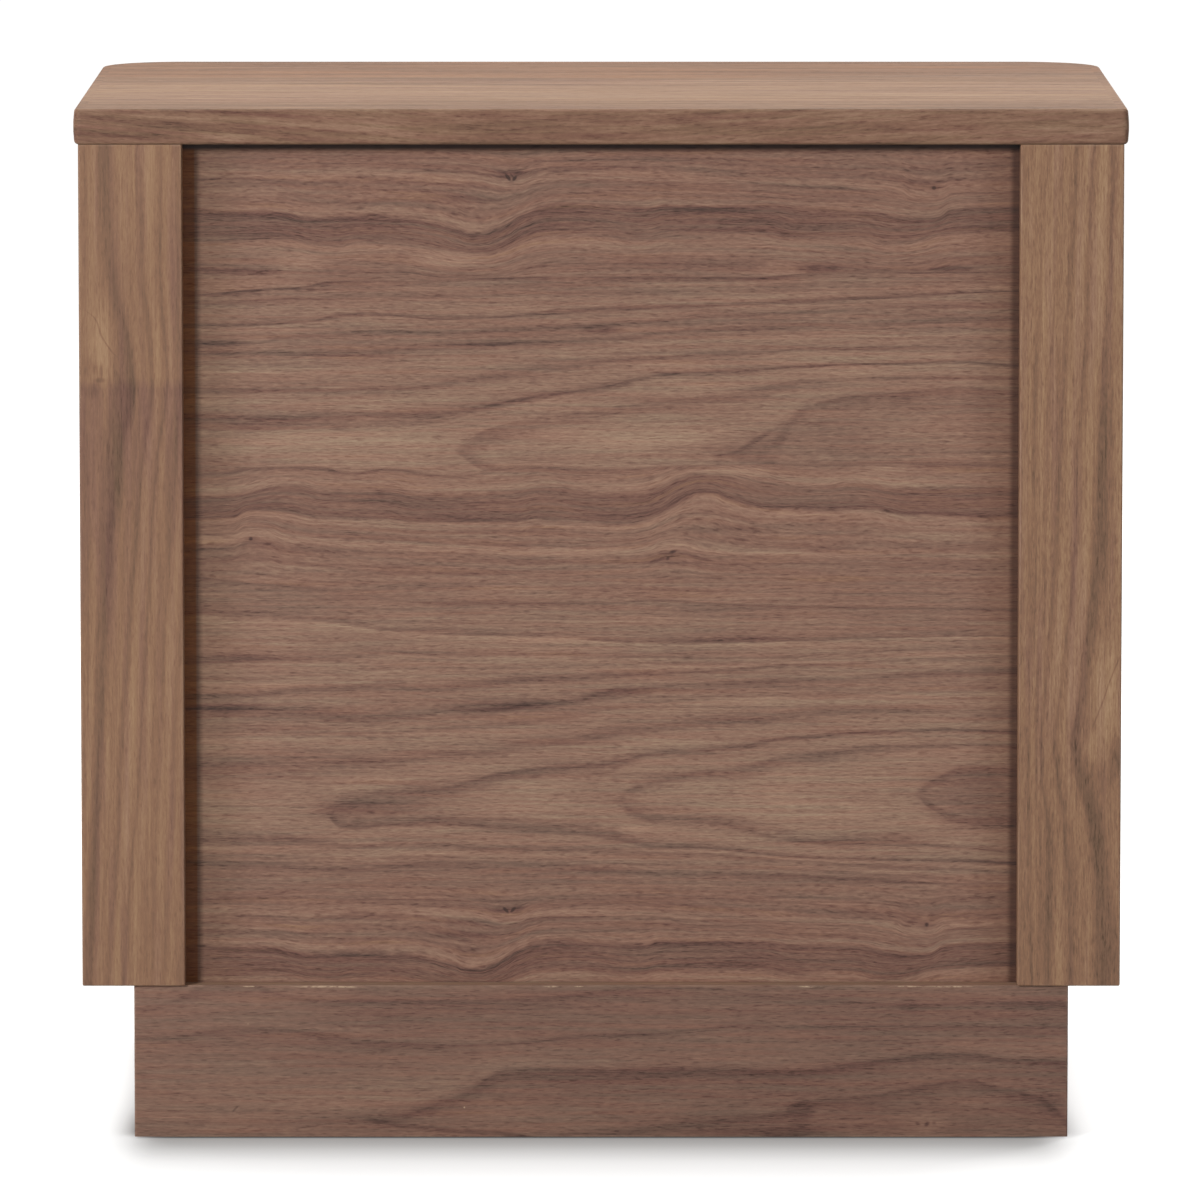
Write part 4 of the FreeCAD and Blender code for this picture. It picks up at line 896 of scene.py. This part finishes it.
def finishPaleWood(name, wood, axes, seed):
    look = {**paleGrain, **paleWoods[wood], "seed": seed, "pith": (12.0 + seed, paleGrain["pithBelow"])}
    material, tree = newMaterial(name + wood.capitalize())
    low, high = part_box(name)
    place = boardPlace(tree, axes, (low + high) / 2)
    bands = noise(joined(grownHeight(place, look), seed, 0.0), look["bandSize"], 3.0, 0.6)
    fibres = noise(place, look["fibreSize"], 4.0, 0.65, seed)
    flecks = ranged(noise(place, look["fleckSize"], 1.0, 0.5, seed + 2), *look["fleckRange"], soft=True)
    tone = added(look["tone"], swing(bands, look["bandAmount"]), swing(fibres, look["fibre"]),
                 times(flecks, look["fleckDepth"]))
    colour = colourRamp(tone, look["colours"])
    wear = times(edgeWear(tree, name, look["wear"]),
                 ranged(noise(place, look["wearSize"], 2.0, 0.5, seed + 5), *look["wearRange"]))
    colour = blended(wear, colour, paint(look["wornColour"]), "RGBA")
    roughness = added(look["roughness"], swing(fibres, look["fibreRough"]))
    bump = added(fibres, times(flecks, look["fleckBump"]))
    surface(colour, roughness, bump, look["bump"], look["bumpDepth"])
    dress(name, material)


for number, (name, (wood, axes)) in enumerate(paleParts.items()):
    finishPaleWood(name, wood, axes, 1.5 + number * 2.3)
print("birch and beech finished")


metals = {
    "zincPlate": {"colours": [(0.0, "8f9192"), (0.5, "b4b6b6"), (1.0, "d2d2cf")], "rough": 0.34,
                  "streak": (5, 5, 5), "worn": "7c7466"},
    "runnerPlate": {"colours": [(0.0, "9a9d9f"), (0.5, "bcbfc0"), (1.0, "d6d8d8")], "rough": 0.3,
                    "streak": (60, 0.6, 0.6), "worn": "86807a"},
    "bearingSteel": {"colours": [(0.0, "b0b2b4"), (0.5, "cacccd"), (1.0, "dedfe0")], "rough": 0.16,
                     "streak": (8, 8, 8), "worn": "8c8a88"},
}
metalWear = {
    "streakAmount": 0.8, "spangleSize": (3.0, 3.0, 3.0), "spangleAmount": 0.4, "streakRough": 0.2,
    "dullSize": (22, 9, 9), "dullRange": (0.56, 0.72, 0.0, 0.5), "dullRough": 0.3,
    "bump": 0.1, "bumpDepth": 0.00005,
}
metalParts = {
    "zincPlate": ["cam_bolts", "cam_locks", "top_screws", "cabinet_runner_screws", "plinth_screws"],
    "runnerPlate": [], "bearingSteel": [],
}
for drawer in ("lower_", "upper_"):
    metalParts["zincPlate"] += [drawer + part + "_screws" for part in ("front", "runner")]
    metalParts["runnerPlate"] += [drawer + part + "_runners" for part in ("cabinet", "drawer", "middle")]
    metalParts["bearingSteel"] += [drawer + part + "_ball_cages" for part in ("outer", "inner")]


def metalFinish(name):
    look = {**metalWear, **metals[name]}
    material, tree = newMaterial(name)
    place = boardPlace(tree, levelSide)
    streaks = noise(place, look["streak"], 3.0, 0.6, 1.0)
    spangle = noise(place, look["spangleSize"], 2.0, 0.5, 4.0)
    dull = ranged(noise(place, look["dullSize"], 3.0, 0.6, 7.0), *look["dullRange"], soft=True)
    tone = added(0.5, swing(streaks, look["streakAmount"]), swing(spangle, look["spangleAmount"]))
    colour = colourRamp(tone, look["colours"])
    colour = blended(dull, colour, paint(look["worn"]), "RGBA")
    roughness = added(look["rough"], swing(streaks, look["streakRough"]), times(dull, look["dullRough"]))
    surface(colour, roughness, streaks, look["bump"], look["bumpDepth"], Metallic=1.0)
    return material


for finish, names in metalParts.items():
    metal = metalFinish(finish)
    for name in names:
        dress(name, metal)


glides = {
    "colours": [(0.0, "3a3632"), (0.5, "4c4741"), (1.0, "5e5850")], "roughness": 0.5,
    "mottleSize": (2.2, 2.2, 2.2), "scuffSize": (9, 1.1, 3), "scuffRange": (0.6, 0.72),
    "scuffTone": -0.4, "scuffRough": 0.25, "bump": 0.1, "bumpDepth": 0.0001,
}


def finishGlides(look):
    material, tree = newMaterial("glideNylon")
    place = boardPlace(tree, asBuilt)
    mottle = noise(place, look["mottleSize"], 3.0, 0.6, 2.0)
    scuffs = ranged(noise(place, look["scuffSize"], 2.0, 0.5, 6.0), *look["scuffRange"], soft=True)
    colour = colourRamp(added(mottle, times(scuffs, look["scuffTone"])), look["colours"])
    roughness = added(look["roughness"], times(scuffs, look["scuffRough"]))
    surface(colour, roughness, scuffs, look["bump"], look["bumpDepth"])
    dress("floor_glides", material)


finishGlides(glides)
print("metal and plastic finished")


studio = {
    "floorSize": 26.0, "floorColours": ("adadab", "b2b2b0"),
    # the painted shadow round the plinth's foot: middle and half size of its outline, then how it fades past
    # the sides and past front and back, in millimetres, and the paper's own glow further out
    "footMiddle": (2.4, 12.5), "footHalf": (248.0, 173.0),
    "shadeAside": [(-25, 1.0), (-19, 0.99), (-15, 0.96), (-11, 0.905), (-7, 0.78), (-3, 0.63), (1, 0.43),
        (5.5, 0.25), (10, 0.125), (14, 0.05), (20, 0.0)],
    "shadeAhead": [(-173, 1.05), (-130, 1.12), (-97, 1.25), (-65, 1.5), (-32, 1.6), (-10, 1.1), (0, 0.68),
        (18, 0.577), (37, 0.43), (57, 0.29), (76, 0.164), (96, 0.09), (115, 0.045), (135, 0.01), (150, 0.0)],
    "paperGlow": [(0, 0.84), (38, 0.84), (90, 0.92), (400, 0.97), (1700, 1.0)],
    "glowStretch": 4.0, "leastGlow": 0.03, "mottleSize": (300, 300, 300), "skyLight": 0.1,
    "lamps": {  # place, aim, width, height, power in watts
        "keyLamp": ((2.962, 4.483, 2.045), (0, 0.19, 0.3), 0.86, 1.3, 206.0),
        "sideLamp": ((-1.529, 4.236, 1.54), (0, 0.19, 0.3), 1.0, 1.0, 16.0),
        "topLamp": ((0.0, -0.7, 3.0), (0, -0.05, 0.5), 2.2, 0.9, 62.0),
        "frontLamp": ((-2.2, -2.9, 1.5), (0, -0.19, 0.3), 1.2, 1.2, 78.0),
        "frontFill": ((2.4, -2.4, 1.3), (0, -0.19, 0.3), 1.4, 1.4, 22.0),
    },
    "camera": {"place": (0.0006, 5.9385, 0.9604), "tilt": 6.6407, "lens": 326.0, "sensor": 36.0,
               "clip": (0.1, 60.0)},
}


def seenDirectly(tree):
    # 1 where the camera, or a mirror or glass in front of it, looks at the surface
    light = tree.nodes.new("ShaderNodeLightPath")
    kinds = [light.outputs[name] for name in ("Is Camera Ray", "Is Glossy Ray", "Is Transmission Ray")]
    return maths("MAXIMUM", kinds[0], maths("MAXIMUM", kinds[1], kinds[2]))


def buildStudio(look):
    reach = look["floorSize"] / 2
    mesh = bpy.data.meshes.new("studioFloor")
    corners = [(x * reach, y * reach, 0) for x, y in ((-1, -1), (1, -1), (1, 1), (-1, 1))]
    mesh.from_pydata(corners, [], [(0, 1, 2, 3)])
    floor = bpy.data.objects.new("studioFloor", mesh)
    bpy.context.scene.collection.objects.link(floor)
    material, tree = newMaterial("studioFloorPaper")
    place = boardPlace(tree, asBuilt)
    mottle = noise(place, look["mottleSize"], 2.0)
    diffuse = tree.nodes.new("ShaderNodeBsdfDiffuse")
    feed(diffuse.inputs["Color"], blended(mottle, *[paint(c) for c in look["floorColours"]], "RGBA"))
    # paper-white away from the plinth, with a painted shadow greyer towards its foot
    across, back = split(place)[:2]
    aside, ahead = [minus(maths("ABSOLUTE", minus(value, middle)), half)
                    for value, middle, half in zip((across, back), look["footMiddle"], look["footHalf"])]
    shade = times(curveThrough(aside, look["shadeAside"]), curveThrough(ahead, look["shadeAhead"]))
    stretched = maths("DIVIDE", ahead, look["glowStretch"])
    away = vectorMaths("LENGTH", joined(maths("MAXIMUM", aside, 0.0), maths("MAXIMUM", stretched, 0.0), 0.0))
    glowLevel = minus(curveThrough(away, look["paperGlow"]), shade)
    glow = tree.nodes.new("ShaderNodeEmission")
    feed(glow.inputs["Strength"], times(seenDirectly(tree), maths("MAXIMUM", glowLevel, look["leastGlow"])))
    both = tree.nodes.new("ShaderNodeAddShader")
    feed(both.inputs[0], diffuse.outputs[0])
    feed(both.inputs[1], glow.outputs[0])
    feed(tree.nodes.new("ShaderNodeOutputMaterial").inputs[0], both.outputs[0])
    mesh.materials.append(material)

    world = bpy.data.worlds.new("studioSky")
    bpy.context.scene.world = world
    world.use_nodes = True
    sky = world.node_tree
    sky.nodes.clear()
    background = sky.nodes.new("ShaderNodeBackground")
    background.inputs["Color"].default_value = (1, 1, 1, 1)
    feed(background.inputs["Strength"], ranged(seenDirectly(sky), 0.0, 1.0, look["skyLight"], 1.0))
    feed(sky.nodes.new("ShaderNodeOutputWorld").inputs[0], background.outputs[0])

    for name, (place, aim, width, height, power) in look["lamps"].items():
        lamp = bpy.data.lights.new(name, "AREA")
        lamp.shape = "RECTANGLE"
        lamp.size, lamp.size_y, lamp.energy = width, height, power
        holder = bpy.data.objects.new(name, lamp)
        holder.location = place
        holder.rotation_euler = (Vector(aim) - Vector(place)).to_track_quat("-Z", "Y").to_euler()
        bpy.context.scene.collection.objects.link(holder)

    view = look["camera"]
    camera = bpy.data.cameras.new("rearCamera")
    camera.lens, camera.sensor_width = view["lens"], view["sensor"]
    camera.clip_start, camera.clip_end = view["clip"]
    holder = bpy.data.objects.new("rearCamera", camera)
    holder.location = view["place"]
    holder.rotation_euler = [radians(v) for v in (90.0 - view["tilt"], 0.0, 180.0)]
    bpy.context.scene.collection.objects.link(holder)
    bpy.context.scene.camera = holder
    bpy.context.scene.view_settings.view_transform = "Standard"
    print("studio built")


buildStudio(studio)
